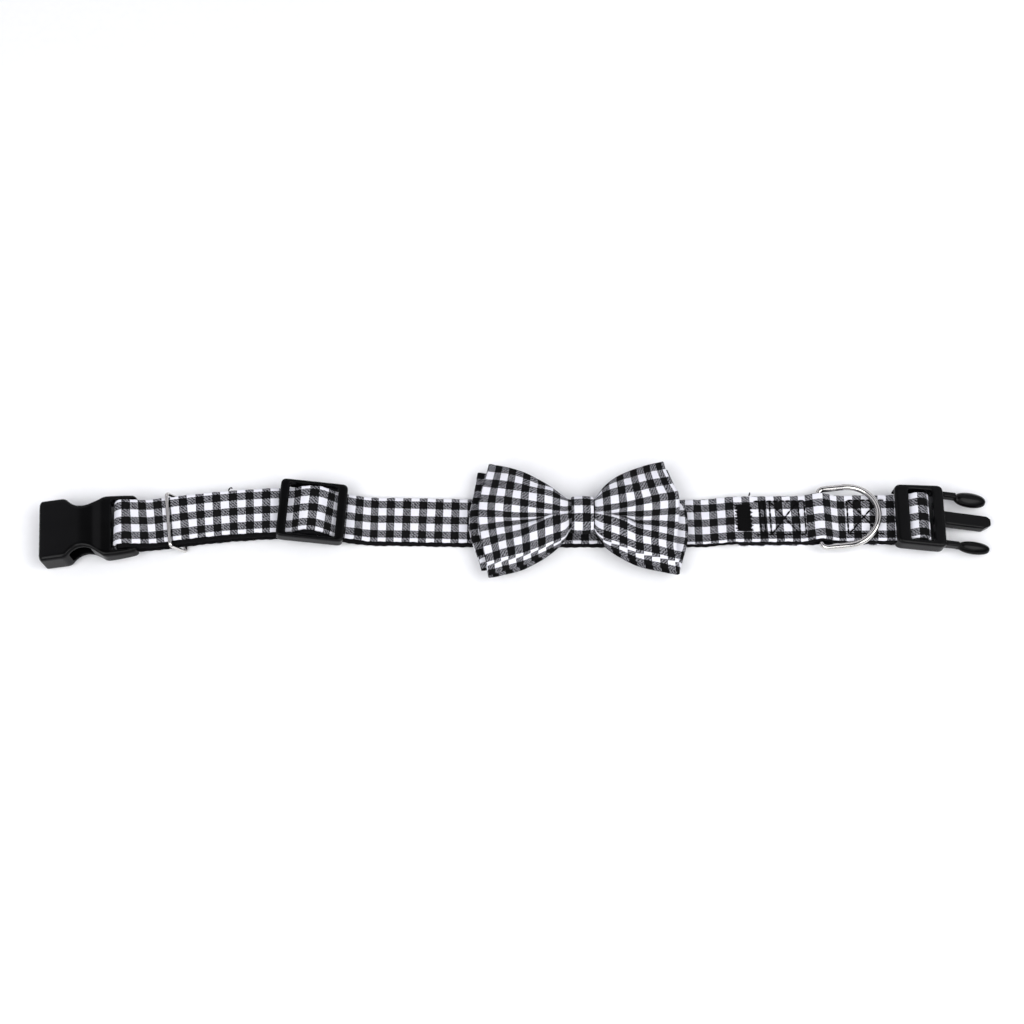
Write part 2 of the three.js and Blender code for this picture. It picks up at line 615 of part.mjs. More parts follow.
function roundedLoop(half, low, high, corner) {
  const path = new THREE.Path();
  path.moveTo(-half + corner, low);
  path.lineTo(half - corner, low);
  path.absarc(half - corner, low + corner, corner, -Math.PI / 2, 0, false);
  path.absarc(half - corner, high - corner, corner, 0, Math.PI / 2, false);
  path.absarc(-half + corner, high - corner, corner, Math.PI / 2, Math.PI, false);
  path.absarc(-half + corner, low + corner, corner, Math.PI, Math.PI * 1.5, false);
  return path;
}

function bowBand() {
  const inner = BOW_PINCH_WIDTH / 2 + BAND_PLAY;
  const outer = inner + BAND_CLOTH;
  const shape = new THREE.Shape(
    roundedLoop(outer, BAND_LOW, BAND_HIGH, BAND_CORNER).getPoints(6));
  shape.holes.push(roundedLoop(inner, BAND_LOW + BAND_CLOTH, BAND_HIGH - BAND_CLOTH,
    BAND_CORNER - BAND_CLOTH));
  const geometry = new THREE.ExtrudeGeometry(shape, { depth: BAND_WIDTH, bevelEnabled: false, curveSegments: 6 });
  geometry.rotateX(Math.PI / 2);
  geometry.rotateZ(Math.PI / 2);
  return geometryOf(solid(geometry.translate(-BAND_WIDTH / 2, 0, 0)));
}

// The assembly
const collar = new THREE.Group();

function add(name, geometry, finish, parent = collar) {
  const mesh = new THREE.Mesh(geometry, new THREE.MeshStandardMaterial(finish));
  mesh.name = name;
  parent.add(mesh);
  return mesh;
}

// A group beside the strap at x, turned with it and pitched about the cross axis
function station(x, z, pitch = 0) {
  const { y, turn } = sway(x);
  const turned = new THREE.Group();
  turned.position.set(x, y, z);
  turned.rotation.z = turn;
  const pitched = new THREE.Group();
  pitched.rotation.y = pitch;
  turned.add(pitched);
  collar.add(turned);
  return pitched;
}

add('strap_webbing', webbing(), FINISH.webbing);
add('strap_gingham_face', ginghamFace(), FINISH.cloth);

const socketMesh = add('buckle_socket', socket(), FINISH.plastic, station(SOCKET_BAR_X, SOCKET_BAR_Z, -SOCKET_PITCH));
socketMesh.position.set(SOCKET_BAR_INSET - SOCKET_LENGTH, 0, -SOCKET_BAR_HEIGHT);

const keeperTilt = Math.PI / 2 - KEEPER_LEAN;
add('keeper_ring', keeperRing(), FINISH.steel, station(KEEPER_X, (KEEPER_LOW + KEEPER_TOP) / 2, keeperTilt));

add('slider', slider(), FINISH.plastic, station(SLIDER_X, SLIDER_Z, SLIDER_PITCH));

// The D-ring rests where its bow crosses the strap's edges
const ringHalf = STRAP_WIDTH / 2 + RING_SIDE_PLAY + RING_WIRE / 2;
const ringCrossing = RING_DEPTH - ringHalf + Math.sqrt(ringHalf ** 2 - (STRAP_WIDTH / 2) ** 2);
const crossedSeam = UPPER_SEAM + strapRise * (RING_X + ringCrossing - riseFoot);
const ringRest = Math.asin((crossedSeam + FACE_OUT + FIT_GAP + RING_WIRE / 2 - RING_BAR_Z) / ringCrossing);
add('d_ring', dRing(), FINISH.steel, station(RING_X, RING_BAR_Z, -ringRest));

add('buckle_prongs', prongs(), FINISH.plastic, station(PRONG_BAR_X, PRONG_BAR_Z, PRONG_PITCH));

add('bow_back', bowLayer(BACK_HALF_LENGTH, BACK_SEAT, 'backLow', 'backHigh'), FINISH.cloth);
add('bow_front', bowLayer(FRONT_HALF_LENGTH, FRONT_SEAT, 'frontLow', 'frontHigh'), FINISH.cloth);

const band = add('bow_band', bowBand(), FINISH.cloth);
band.position.set(BOW_X, BOW_Y, 0);

export default collar;
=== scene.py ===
"""The looks of a gingham pet collar with a bow tie, in metres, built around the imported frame."""
import json

import bpy
import numpy as np
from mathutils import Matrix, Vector

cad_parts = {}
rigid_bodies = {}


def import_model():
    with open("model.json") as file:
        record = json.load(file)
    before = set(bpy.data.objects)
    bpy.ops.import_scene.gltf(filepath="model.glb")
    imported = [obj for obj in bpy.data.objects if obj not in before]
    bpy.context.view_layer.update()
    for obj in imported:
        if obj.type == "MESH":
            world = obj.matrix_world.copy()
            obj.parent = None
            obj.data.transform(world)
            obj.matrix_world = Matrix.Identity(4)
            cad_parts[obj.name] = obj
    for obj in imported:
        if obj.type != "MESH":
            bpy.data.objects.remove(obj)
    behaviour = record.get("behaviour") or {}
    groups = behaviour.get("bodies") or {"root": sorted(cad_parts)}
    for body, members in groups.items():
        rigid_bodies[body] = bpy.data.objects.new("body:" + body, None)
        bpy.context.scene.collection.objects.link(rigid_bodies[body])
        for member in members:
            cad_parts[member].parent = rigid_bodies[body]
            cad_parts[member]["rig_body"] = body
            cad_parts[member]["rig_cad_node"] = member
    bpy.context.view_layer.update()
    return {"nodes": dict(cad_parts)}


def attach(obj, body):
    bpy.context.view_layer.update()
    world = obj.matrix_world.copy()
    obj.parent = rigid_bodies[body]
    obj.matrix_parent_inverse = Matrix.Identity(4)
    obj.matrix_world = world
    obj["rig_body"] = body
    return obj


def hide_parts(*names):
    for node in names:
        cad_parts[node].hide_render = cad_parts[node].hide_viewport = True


MM = 0.001

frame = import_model()


# Camera and lights

def studio_camera(eye, target, lens):
    """A camera at eye that looks at target, with the lens in millimetres."""
    data = bpy.data.cameras.new("studio_camera")
    data.lens = lens
    data.sensor_width = 36
    data.clip_end = 20
    camera = bpy.data.objects.new("studio_camera", data)
    bpy.context.scene.collection.objects.link(camera)
    camera.location = eye
    camera.rotation_euler = (Vector(target) - Vector(eye)).to_track_quat("-Z", "Y").to_euler()
    bpy.context.scene.camera = camera


def softbox(name, place, target, size, power):
    """A rectangular area light at place, turned to target: size in metres, power in watts."""
    data = bpy.data.lights.new(name, "AREA")
    data.shape = "RECTANGLE"
    data.size, data.size_y = size
    data.energy = power
    light = bpy.data.objects.new(name, data)
    bpy.context.scene.collection.objects.link(light)
    light.location = place
    light.rotation_euler = (Vector(target) - Vector(place)).to_track_quat("-Z", "Y").to_euler()


EYE, TARGET, LENS = (-0.00154, -0.29944, 0.6525), (-0.00154, 0.00482, 0), 65.74
studio_camera(EYE, TARGET, LENS)
bpy.context.scene.view_settings.view_transform = "Standard"
softbox("left_softbox", (-0.6, -0.6, 1.0), (-0.05, 0, 0), (0.9, 0.9), 9)
softbox("right_softbox", (0.7, -0.35, 1.0), (0.05, 0, 0), (0.9, 0.9), 9)
softbox("front_strip", (0, -1.0, 0.47), (0, 0, 0), (1.5, 0.08), 1.2)
softbox("back_strip", (0.1, 1.1, 0.3), (0, 0, 0), (1.5, 0.1), 1.0)


# Shader helpers

class Socket:
    """A node's output or a number, with arithmetic that adds Math nodes."""

    def __init__(self, paint, value):
        self.paint, self.value = paint, value

    def maths(self, operation, *others):
        values = {"i" + str(k): item for k, item in enumerate((self, *others))}
        return self.paint.node("Math", settings={"operation": operation}, **values)

    def __add__(self, other): return self.maths("ADD", other)
    def __radd__(self, other): return self.maths("ADD", other)
    def __sub__(self, other): return self.maths("SUBTRACT", other)
    def __rsub__(self, other): return Socket(self.paint, other).maths("SUBTRACT", self)
    def __mul__(self, other): return self.maths("MULTIPLY", other)
    def __rmul__(self, other): return self.maths("MULTIPLY", other)
    def __truediv__(self, other): return self.maths("DIVIDE", other)
    def __rtruediv__(self, other): return Socket(self.paint, other).maths("DIVIDE", self)
    def __mod__(self, other): return self.maths("FLOORED_MODULO", other)
    def __rmod__(self, other): return Socket(self.paint, other).maths("FLOORED_MODULO", self)
    def __lt__(self, other): return self.maths("LESS_THAN", other)
    def __gt__(self, other): return self.maths("GREATER_THAN", other)
    def floor(self): return self.maths("FLOOR")
    def abs(self): return self.maths("ABSOLUTE")
    def sin(self): return self.maths("SINE")


class Paint:
    """A node tree with one method for its nodes."""

    def __init__(self, tree):
        self.tree = tree

    def feed(self, slot, item):
        """Links or sets one input socket."""
        if isinstance(item, Socket):
            item = item.value
        if isinstance(item, bpy.types.NodeSocket):
            self.tree.links.new(item, slot)
        else:
            slot.default_value = item

    def node(self, kind, output=0, settings=None, stops=(), **inputs):
        """Adds a node of a kind with its settings and a ramp's stops, then its
        inputs, and gives one output, or a list for a tuple of outputs."""
        node = self.tree.nodes.new("ShaderNode" + kind)
        for key, value in (settings or {}).items():
            setattr(node, key, value)
        for k, (place, colour) in enumerate(stops):
            stop = node.color_ramp.elements[k] if k < 2 else node.color_ramp.elements.new(place)
            stop.position, stop.color = place, colour
        for key, value in inputs.items():
            slot = node.inputs[int(key[1:])] if key[1:].isdigit() else node.inputs[key.replace("_", " ")]
            self.feed(slot, value)
        if isinstance(output, tuple):
            return [Socket(self, node.outputs[key]) for key in output]
        return Socket(self, node.outputs[output])


class Finish(Paint):
    """A material whose constants go on its Principled shader, self.shader."""

    def __init__(self, name, **constants):
        self.material = bpy.data.materials.new(name)
        self.material.use_nodes = True
        super().__init__(self.material.node_tree)
        self.shader = self.tree.nodes["Principled BSDF"]
        for key, value in constants.items():
            self.shader.inputs[key.replace("_", " ")].default_value = value

    def place(self):
        """Object coordinates."""
        return self.node("TexCoord", "Object")

    def cloth_map(self):
        """The piece's own map: millimetres along the cloth and across it."""
        return self.node("SeparateXYZ", (0, 1), Vector=self.node("UVMap", settings={"uv_map": "cloth"}))

    def noise(self, where, scale, detail=3, rough=0.5):
        """Soft noise at so many waves to a metre."""
        return self.node("TexNoise", "Fac", Vector=where, Scale=scale, Detail=detail, Roughness=rough)

    def mix(self, share, first, second):
        """A colour between first and second."""
        return self.node("Mix", 2, {"data_type": "RGBA"}, i0=share, i6=first, i7=second)

    def bump(self, height, distance, strength):
        """Raises the surface by height times distance in metres."""
        normal = self.node("Bump", Height=height, Distance=distance, Strength=strength)
        self.feed(self.shader.inputs["Normal"], normal)

    def set(self, **links):
        """Feeds the shader's sockets and gives the material."""
        for key, value in links.items():
            self.feed(self.shader.inputs[key.replace("_", " ")], value)
        return self.material


SQUARE = 3.1      # a gingham square's side, in millimetres
THREAD = 0.31     # the pitch of its threads
RIB, CORD = 0.62, 0.9  # the pitch of the webbing's ribs and of the cords across them


def gingham_finish(name, shift_along, shift_across):
    """Even checks from two thread colours each way: where both are black the
    square is black, where both are white it is white, and where they differ
    the square is a dark heather, because the threads pass in twill steps and
    the white ones show only in slanting flecks."""
    paint = Finish(name, Roughness=0.92, Specular_IOR_Level=0.06)
    along, across = paint.cloth_map()
    where = paint.place()
    wander = paint.noise(where, 300, 2) - 0.5
    drift = paint.noise(where, 620, 2) - 0.5
    u = along + shift_along + wander * 0.3
    v = across + shift_across + drift * 0.3
    column = (u / SQUARE).floor() % 2
    row = (v / SQUARE).floor() % 2
    warp = (u / THREAD).floor()
    weft = (v / THREAD).floor()
    both = column * row
    either = column + row - both * 2
    slur = (paint.noise(where, 1400, 2) * 6).floor()
    fleck = ((warp + weft + slur) % 4) < 2
    fibre = paint.noise(where, 5200, 2, 0.6)
    shade = paint.noise(where, 90, 3)
    black = paint.mix(fibre, (0.0015, 0.0015, 0.0016, 1), (0.009, 0.009, 0.0095, 1))
    pale = paint.mix(fibre * 0.7 + shade * 0.3, (0.66, 0.66, 0.75, 1), (0.93, 0.93, 0.95, 1))
    fleck_pale = paint.mix(fibre, (0.12, 0.12, 0.13, 1), (0.46, 0.46, 0.5, 1))
    heather = paint.mix(fleck * 0.85, (0.022, 0.022, 0.024, 1), fleck_pale)
    colour = paint.mix(either, paint.mix(both, black, pale), heather)
    ribs = (u * (np.pi / THREAD)).sin().abs() + (v * (np.pi / THREAD)).sin().abs()
    paint.bump(ribs * 0.5 + fibre * 0.5 + shade * 1.4, 0.00012, 0.55)
    return paint.set(Base_Color=colour)


def webbing_finish():
    """Black woven webbing: ribs across its width, each tipped with fine threads."""
    paint = Finish("black_webbing", Specular_IOR_Level=0.05)
    along, across = paint.cloth_map()
    where = paint.place()
    rib = (along * (np.pi / RIB)).sin().abs()
    cord = ((across + (along / RIB).floor() % 2 * (CORD / 2)) * (np.pi / CORD)).sin().abs()
    fibre = paint.noise(where, 3800, 2)
    weave = rib * 0.6 + cord * 0.6
    colour = paint.mix(weave * 0.5 + fibre * 0.5, (0.001, 0.001, 0.001, 1), (0.007, 0.007, 0.008, 1))
    paint.bump(weave + fibre * 0.5, 0.00018, 0.7)
    return paint.set(Base_Color=colour, Roughness=0.6 + fibre * 0.3)


def plastic_finish():
    """Black moulded plastic with a fine satin grain."""
    paint = Finish("satin_black_plastic", Specular_IOR_Level=0.12)
    where = paint.place()
    grain = paint.noise(where, 2600, 3)
    cloud = paint.noise(where, 120, 2)
    colour = paint.mix(cloud, (0.001, 0.001, 0.0011, 1), (0.003, 0.003, 0.0033, 1))
    paint.bump(grain, 0.00003, 0.5)
    return paint.set(Base_Color=colour, Roughness=0.16 + grain * 0.06 + cloud * 0.08)


def nickel_finish():
    """Polished nickel wire with faint drawing marks."""
    paint = Finish("polished_nickel", Metallic=1.0)
    where = paint.place()
    marks = paint.noise(where, 900, 3)
    cloud = paint.noise(where, 150, 2)
    colour = paint.mix(cloud, (0.6, 0.585, 0.56, 1), (0.75, 0.735, 0.71, 1))
    paint.bump(marks, 0.00002, 0.4)
    return paint.set(Base_Color=colour, Roughness=0.07 + marks * 0.08)


def thread_finish():
    """Black sewing thread with the twist of its plies."""
    paint = Finish("black_thread", Roughness=0.8, Specular_IOR_Level=0.05)
    where = paint.place()
    ply = paint.noise(where, 4200, 2)
    colour = paint.mix(ply, (0.001, 0.001, 0.001, 1), (0.006, 0.006, 0.0065, 1))
    paint.bump(ply, 0.00005, 0.6)
    return paint.set(Base_Color=colour)


def floor_finish():
    """Matt white studio board with a faint tooth."""
    paint = Finish("studio_board", Roughness=0.75, Specular_IOR_Level=0.2)
    where = paint.place()
    tooth = paint.noise(where, 300, 3)
    return paint.set(Base_Color=paint.mix(tooth, (0.9, 0.905, 0.915, 1), (0.94, 0.945, 0.955, 1)))


# Mesh helpers

def grid_piece(name, points, cloth=None, closed=(False, False), flip=False, caps=False):
    """A mesh from a grid of points (rows, columns, 3) in millimetres: each four
    neighbours make a face, and a closed direction joins its last line to its
    first. caps closes the first and last row with a face each. cloth
    (rows + closed, columns + closed, 2) gives its map."""
    rows, cols = points.shape[:2]
    r = np.arange(rows if closed[0] else rows - 1)[:, None]
    c = np.arange(cols if closed[1] else cols - 1)[None, :]
    r1, c1 = r + 1, c + 1
    corner = [(r, c), (r1, c), (r1, c1), (r, c1)]
    if flip:
        corner.reverse()
    faces = [(a % rows) * cols + b % cols + 0 * (r + c) for a, b in corner]
    faces = np.stack(faces, -1).reshape(-1, 4).tolist()
    first, last = np.arange(cols), np.arange(cols)[::-1]
    ends = [(first, 0), (last, rows - 1)] if not flip else [(last, 0), (first, rows - 1)]
    if caps:
        faces += [(line + row * cols).tolist() for line, row in ends]
    mesh = bpy.data.meshes.new(name)
    mesh.from_pydata(points.reshape(-1, 3) * MM, [], faces)
    if cloth is not None:
        width = cloth.shape[1]
        index = np.stack([a * width + b + 0 * (r + c) for a, b in corner], -1).reshape(-1)
        if caps:
            index = np.concatenate([index] + [line + row * width for line, row in ends])
        layer = mesh.uv_layers.new(name="cloth")
        layer.data.foreach_set("uv", cloth.reshape(-1, 2)[index].astype(np.float32).ravel())
    mesh.shade_smooth()
    mesh.update()
    piece = bpy.data.objects.new(name, mesh)
    bpy.context.scene.collection.objects.link(piece)
    return piece


def dress(piece, material, body, replaces=()):
    """Gives a piece its finish, its body and the nodes it stands for."""
    piece.data.materials.clear()
    piece.data.materials.append(material)
    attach(piece, body)
    if replaces:
        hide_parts(*replaces)
    return piece


# The strap's path

STRAP_HALF = 10.0

# Rows of x and the strap's sideways place there, in shares of its width
SWAY = np.array([
    (-180, -0.275), (-165, -0.26), (-149, -0.23), (-134, -0.125), (-120, -0.03),
    (-105, 0.045), (-90, 0.085), (-77, 0.068), (-64, 0.02), (-45, 0.01), (-18, -0.015),
    (70, -0.015), (108, 0.005), (127, 0.01), (144, -0.035), (163, -0.06), (180, -0.08)])


def even_loop(line, count):
    """A closed line, its first point again at its end, in count even steps:
    the points, the length at each and at the end, and the directions."""
    gap = np.linalg.norm(np.diff(line, axis=0), axis=1)
    line = line[np.concatenate([[True], gap > 1e-6])]
    far = np.concatenate([[0], np.cumsum(np.linalg.norm(np.diff(line, axis=0), axis=1))])
    at = np.linspace(0, far[-1], count + 1)
    line = np.stack([np.interp(at, far, line[:, 0]), np.interp(at, far, line[:, 1])], -1)[:-1]
    along = np.roll(line, -1, 0) - np.roll(line, 1, 0)
    return line, at, along / np.linalg.norm(along, axis=1, keepdims=True)


def spline_through(points, steps):
    """A centripetal Catmull-Rom curve through points: each stretch is the
    cubic whose end slopes come from its neighbours' square-root spacing."""
    p = np.vstack([2 * points[0] - points[1], points, 2 * points[-1] - points[-2]])
    gap = np.sqrt(np.linalg.norm(np.diff(p, axis=0), axis=1))[:, None]
    before, here, after = gap[:-2], gap[1:-1], gap[2:]
    a, b, c, d = p[:-3], p[1:-2], p[2:-1], p[3:]
    start = ((b - a) / before - (c - a) / (before + here) + (c - b) / here) * here
    end = ((c - b) / here - (d - b) / (here + after) + (d - c) / after) * here
    t = (np.arange(steps) / steps)[None, :, None]
    b, c, start, end = b[:, None], c[:, None], start[:, None], end[:, None]
    curve = b + start * t + (3 * (c - b) - 2 * start - end) * t ** 2 + (2 * (b - c) + start + end) * t ** 3
    return np.vstack([curve.reshape(-1, points.shape[1]), points[-1:]])


sway_line = spline_through(SWAY * (1, 2 * STRAP_HALF), 12)


def sway(x):
    """The strap's sideways place at x and its slope there."""
    y = np.interp(x, sway_line[:, 0], sway_line[:, 1])
    slope = (np.interp(x + 0.5, *sway_line.T) - np.interp(x - 0.5, *sway_line.T))
    return y, np.arctan(slope)


def beside(x, across, z):
    """A point across from the strap's middle line at x, square to the line."""
    y, turn = sway(x)
    return np.stack(np.broadcast_arrays(x - across * np.sin(turn), y + across * np.cos(turn), z), -1)


def station(points, x, z, pitch=0.0):
    """Points of a piece about its own origin, pitched about the cross axis,
    turned with the strap at x and moved there."""
    y, turn = sway(np.array(float(x)))
    px, py, pz = np.moveaxis(np.asarray(points, float), -1, 0)
    qx, qz = px * np.cos(pitch) + pz * np.sin(pitch), -px * np.sin(pitch) + pz * np.cos(pitch)
    return np.stack([x + qx * np.cos(turn) - py * np.sin(turn),
                     y + qx * np.sin(turn) + py * np.cos(turn), z + qz], -1)


def rounded_route(rows, steps=14):
    """A side-view route (x, z, radius): each corner becomes an arc that leaves
    the straight runs at radius / tan(half the corner's angle) from it."""
    rows = np.array([tuple(row) + (0.0,) * (3 - len(row)) for row in rows])
    p, r = rows[:, :2], rows[1:-1, 2:3]
    back, on = p[:-2] - p[1:-1], p[2:] - p[1:-1]
    back /= np.linalg.norm(back, axis=1, keepdims=True)
    on /= np.linalg.norm(on, axis=1, keepdims=True)
    half = np.arccos(np.clip((back * on).sum(1, keepdims=True), -1, 1)) / 2
    start = p[1:-1] + back * r / np.tan(half)
    bisector = back + on
    bisector /= np.linalg.norm(bisector, axis=1, keepdims=True)
    centre = p[1:-1] + bisector * r / np.sin(half)
    side = np.sign(back[:, :1] * on[:, 1:] - back[:, 1:] * on[:, :1])
    turn = -side * (np.pi - 2 * half) * (np.arange(steps + 1) / steps)[None, :]
    arm = (start - centre)[:, None]
    arc = np.stack([arm[..., 0] * np.cos(turn) - arm[..., 1] * np.sin(turn),
                    arm[..., 0] * np.sin(turn) + arm[..., 1] * np.cos(turn)], -1)
    return np.vstack([p[:1], (centre[:, None] + arc).reshape(-1, 2), p[-1:]])


def even_route(route, spacing):
    """The same route in even steps, with its length so far and its left normals."""
    gap = np.linalg.norm(np.diff(route, axis=0), axis=1)
    route = route[np.concatenate([[True], gap > 1e-6])]
    far = np.concatenate([[0], np.cumsum(np.linalg.norm(np.diff(route, axis=0), axis=1))])
    at = np.linspace(0, far[-1], int(far[-1] / spacing) + 1)
    line = np.stack([np.interp(at, far, route[:, 0]), np.interp(at, far, route[:, 1])], -1)
    along = np.gradient(line, axis=0)
    along /= np.linalg.norm(along, axis=1, keepdims=True)
    return line, at, np.stack([-along[:, 1], along[:, 0]], -1)


# The bars that the strap turns round: where each lies and the radius of its wrap.
# The socket's bar is given from its mouth and its underside, and the socket
# leans down to its mouth
WEBBING_OUT, CLOTH_GAP, FACE_OUT = 1.2, 0.1, 1.1
SOCKET_PITCH, SOCKET_BAR_IN, SOCKET_BAR_UP = np.radians(7), 31.2, 3.8
SOCKET_X, SOCKET_WRAP = -148.8, 2.6
SOCKET_BAR_Z = SOCKET_BAR_UP * np.cos(SOCKET_PITCH) + SOCKET_BAR_IN * np.sin(SOCKET_PITCH)
SLIDER_X, SLIDER_BAR_Z, SLIDER_WRAP = -77.5, 5.9, 2.5
PRONG_X, PRONG_BAR_Z, PRONG_WRAP = 153.4, 7.1, 2.7
RING_X, RING_BAR_Z = 116.0, 3.9
CUT_END_X = 84.7
FLOOR_SEAM, UPPER_SEAM, RUN_LOW, RUN_HIGH = 1.2, 3.8, 2.8, 6.7
CREST, CREST_RADIUS, ARCH, ARCH_FOOT = 5.4, 7.5, 2.7, 6.5
ARCH_RISE = np.tan(np.arcsin(ARCH / ARCH_FOOT)) * ARCH_FOOT
SOCKET_FOOT, RISE_FOOT, TAIL_FOOT = SOCKET_X + 10, RING_X + 10, RING_X + 8


def wrap_line(x, z, bar_x, bar_z, radius, side):
    """The height of the corner where a straight run from (x, z) turns round a
    bar: the run touches the wrap's circle above (side 1) or below (side -1)."""
    dx, dz = abs(bar_x - x), bar_z - z
    rise = np.arctan2(dz, dx) + side * np.arcsin(radius / np.hypot(dx, dz))
    return z + (dx + radius) * np.tan(rise)


# The seam between webbing and cloth in side view: rows of x, z and the corner's radius
face_rows = [
    (SLIDER_X - 10, SLIDER_BAR_Z - SLIDER_WRAP, 12), (SLIDER_X - 18, RUN_LOW, 12),
    (SOCKET_FOOT, RUN_LOW, 5),
    (SOCKET_X - SOCKET_WRAP,
     wrap_line(SOCKET_FOOT, RUN_LOW, SOCKET_X, SOCKET_BAR_Z, SOCKET_WRAP, -1), SOCKET_WRAP),
    (SOCKET_X - SOCKET_WRAP,
     wrap_line(SOCKET_FOOT, RUN_HIGH, SOCKET_X, SOCKET_BAR_Z, SOCKET_WRAP, 1), SOCKET_WRAP),
    (SOCKET_FOOT, RUN_HIGH, 5),
    (SLIDER_X - 7.5, RUN_HIGH, 5), (SLIDER_X + 0.1, SLIDER_BAR_Z + CREST, CREST_RADIUS),
    (SLIDER_X + 8.7, SLIDER_BAR_Z - 1.5, 3), (SLIDER_X + 12.5, SLIDER_BAR_Z - 1.9, 10),
    (SLIDER_X + 22, FLOOR_SEAM, 16), (CUT_END_X - 13, FLOOR_SEAM, 20),
    (CUT_END_X - 2, UPPER_SEAM, 20), (RING_X - ARCH_FOOT, UPPER_SEAM, 3),
    (RING_X, UPPER_SEAM + ARCH_RISE, ARCH), (RING_X + ARCH_FOOT, UPPER_SEAM, 3),
    (RISE_FOOT, UPPER_SEAM, 8), (PRONG_X - PRONG_WRAP * 2, PRONG_BAR_Z - 0.1, 2),
    (PRONG_X - PRONG_WRAP * 0.27, PRONG_BAR_Z + PRONG_WRAP, PRONG_WRAP),
    (PRONG_X + PRONG_WRAP, PRONG_BAR_Z + PRONG_WRAP, PRONG_WRAP),
    (PRONG_X + PRONG_WRAP,
     wrap_line(TAIL_FOOT, FLOOR_SEAM, PRONG_X, PRONG_BAR_Z, PRONG_WRAP, -1), PRONG_WRAP),
    (TAIL_FOOT, FLOOR_SEAM, 8), (CUT_END_X, FLOOR_SEAM)]
sewn_start = [
    (SLIDER_X - SLIDER_WRAP - 5, SLIDER_BAR_Z + 0.1),
    (SLIDER_X - SLIDER_WRAP - 1.2, SLIDER_BAR_Z + 0.1, 1.6),
    (SLIDER_X - SLIDER_WRAP + 1, SLIDER_BAR_Z + SLIDER_WRAP, 1.9),
    (SLIDER_X + SLIDER_WRAP, SLIDER_BAR_Z + SLIDER_WRAP, SLIDER_WRAP),
    (SLIDER_X + SLIDER_WRAP, SLIDER_BAR_Z - SLIDER_WRAP, SLIDER_WRAP)]


def flat_section(low, high, half, edge, count):
    """A closed cloth section of points (across, out): two flat sides of count
    points between round edges of the given radius in across."""
    middle, thick = (low + high) / 2, (high - low) / 2
    across = np.linspace(-(half - edge), half - edge, count)
    bend = np.linspace(0, np.pi, 7)[1:-1]
    right = np.stack([half - edge + edge * np.sin(bend), middle + thick * np.cos(bend)], -1)
    upper = np.stack([across, np.full(count, high)], -1)
    lower = np.stack([across[::-1], np.full(count, low)], -1)
    return np.vstack([upper, right, lower, right[::-1] * (-1, 1)])


# Rows of x and a place across: the check's drift, and the edges of the two cloths
CHECK_DRIFT = ((-150, -0.75), (-60, -0.55), (20, 0.0), (80, 0.9), (150, 1.0))
WEBBING_NEAR, WEBBING_BEYOND = ((0, -STRAP_HALF), (1, -STRAP_HALF)), ((0, STRAP_HALF), (1, STRAP_HALF))
FACE_NEAR = ((-150, -8.6), (-60, -8.7), (60, -9.1), (90, -9.7))
FACE_BEYOND = ((-60, 9.8), (90, 9.4))
KEEPER_SLIP, KEEPER_WIRE_X = 2.9, -132.0
STRAP_STEP, EDGE_ROUND, EDGE_BAND, STRAP_COLUMNS = 0.8, 0.45, 1.2, 25


def strap_piece(name, rows, low, high, near, beyond):
    """A cloth section between its near and its far edge, rows of x and across,
    carried along the strap's route: across lies square to the strap's middle
    line, out along the route's left normal, and the edges waver with the
    sewing's pull. The check drifts sideways along the strap, and slips along
    it where the keeper's wire crosses."""
    line, far, normal = even_route(rounded_route(rows), STRAP_STEP)
    section = flat_section(low, high, STRAP_HALF, EDGE_ROUND, STRAP_COLUMNS)
    across, out = section[None, :, 0], section[None, :, 1]
    edge = np.clip(np.abs(across) - (STRAP_HALF - EDGE_BAND), 0, EDGE_BAND) / EDGE_BAND
    ripple = 0.10 * np.sin(far[:, None] * 1.9 + across) + 0.08 * np.sin(far[:, None] * 0.61 + 1)
    across = across + np.sign(across) * edge * (ripple - 0.1)
    near, beyond = [np.interp(line[:, :1], *zip(*side)) for side in (near, beyond)]
    across = near + (across + STRAP_HALF) / (2 * STRAP_HALF) * (beyond - near)
    x = line[:, None, 0] + normal[:, None, 0] * out
    z = line[:, None, 1] + normal[:, None, 1] * out
    points = beside(x, across, z)
    span = np.concatenate([across, across[:, :1]], 1) + np.interp(line[:, :1], *zip(*CHECK_DRIFT))
    slip = KEEPER_SLIP * np.clip((KEEPER_WIRE_X - line[:, :1]) / 1.2 + 0.5, 0, 1) * (normal[:, 1:] > 0)
    cloth = np.stack(np.broadcast_arrays(far[:, None] - slip, span), -1)
    return grid_piece(name, points, cloth, (False, True), caps=True)


gingham = gingham_finish("gingham_strap_cloth", 1.55, 1.55)
bow_gingham = gingham_finish("gingham_bow_cloth", -1.2, 0.0)
band_gingham = gingham_finish("gingham_band_cloth", 0.05, 1.9)
webbing = webbing_finish()
plastic = plastic_finish()
nickel = nickel_finish()
thread = thread_finish()

dress(strap_piece("webbing_strap", sewn_start + face_rows, -WEBBING_OUT, -CLOTH_GAP,
                  WEBBING_NEAR, WEBBING_BEYOND), webbing, "collar", ["strap_webbing"])
dress(strap_piece("gingham_strap", face_rows, CLOTH_GAP, FACE_OUT, FACE_NEAR, FACE_BEYOND),
      gingham, "collar", ["strap_gingham_face"])


# The stitching on the strap

def face_height(x):
    """The height of the face's front over the floor on the strap's upper side."""
    line, _, normal = even_route(rounded_route(face_rows), 0.4)
    top = line + normal * FACE_OUT
    keep = (normal[:, 1] > 0.3) & (top[:, 0] > SOCKET_X) & (top[:, 0] < PRONG_X - 8)
    order = np.argsort(top[keep, 0])
    return np.interp(x, top[keep, 0][order], top[keep, 1][order])


SEAM_Y, CROSS_Y = 7.0, 6.8
STITCH_REST, STITCH_RISE = 0.1, 0.16


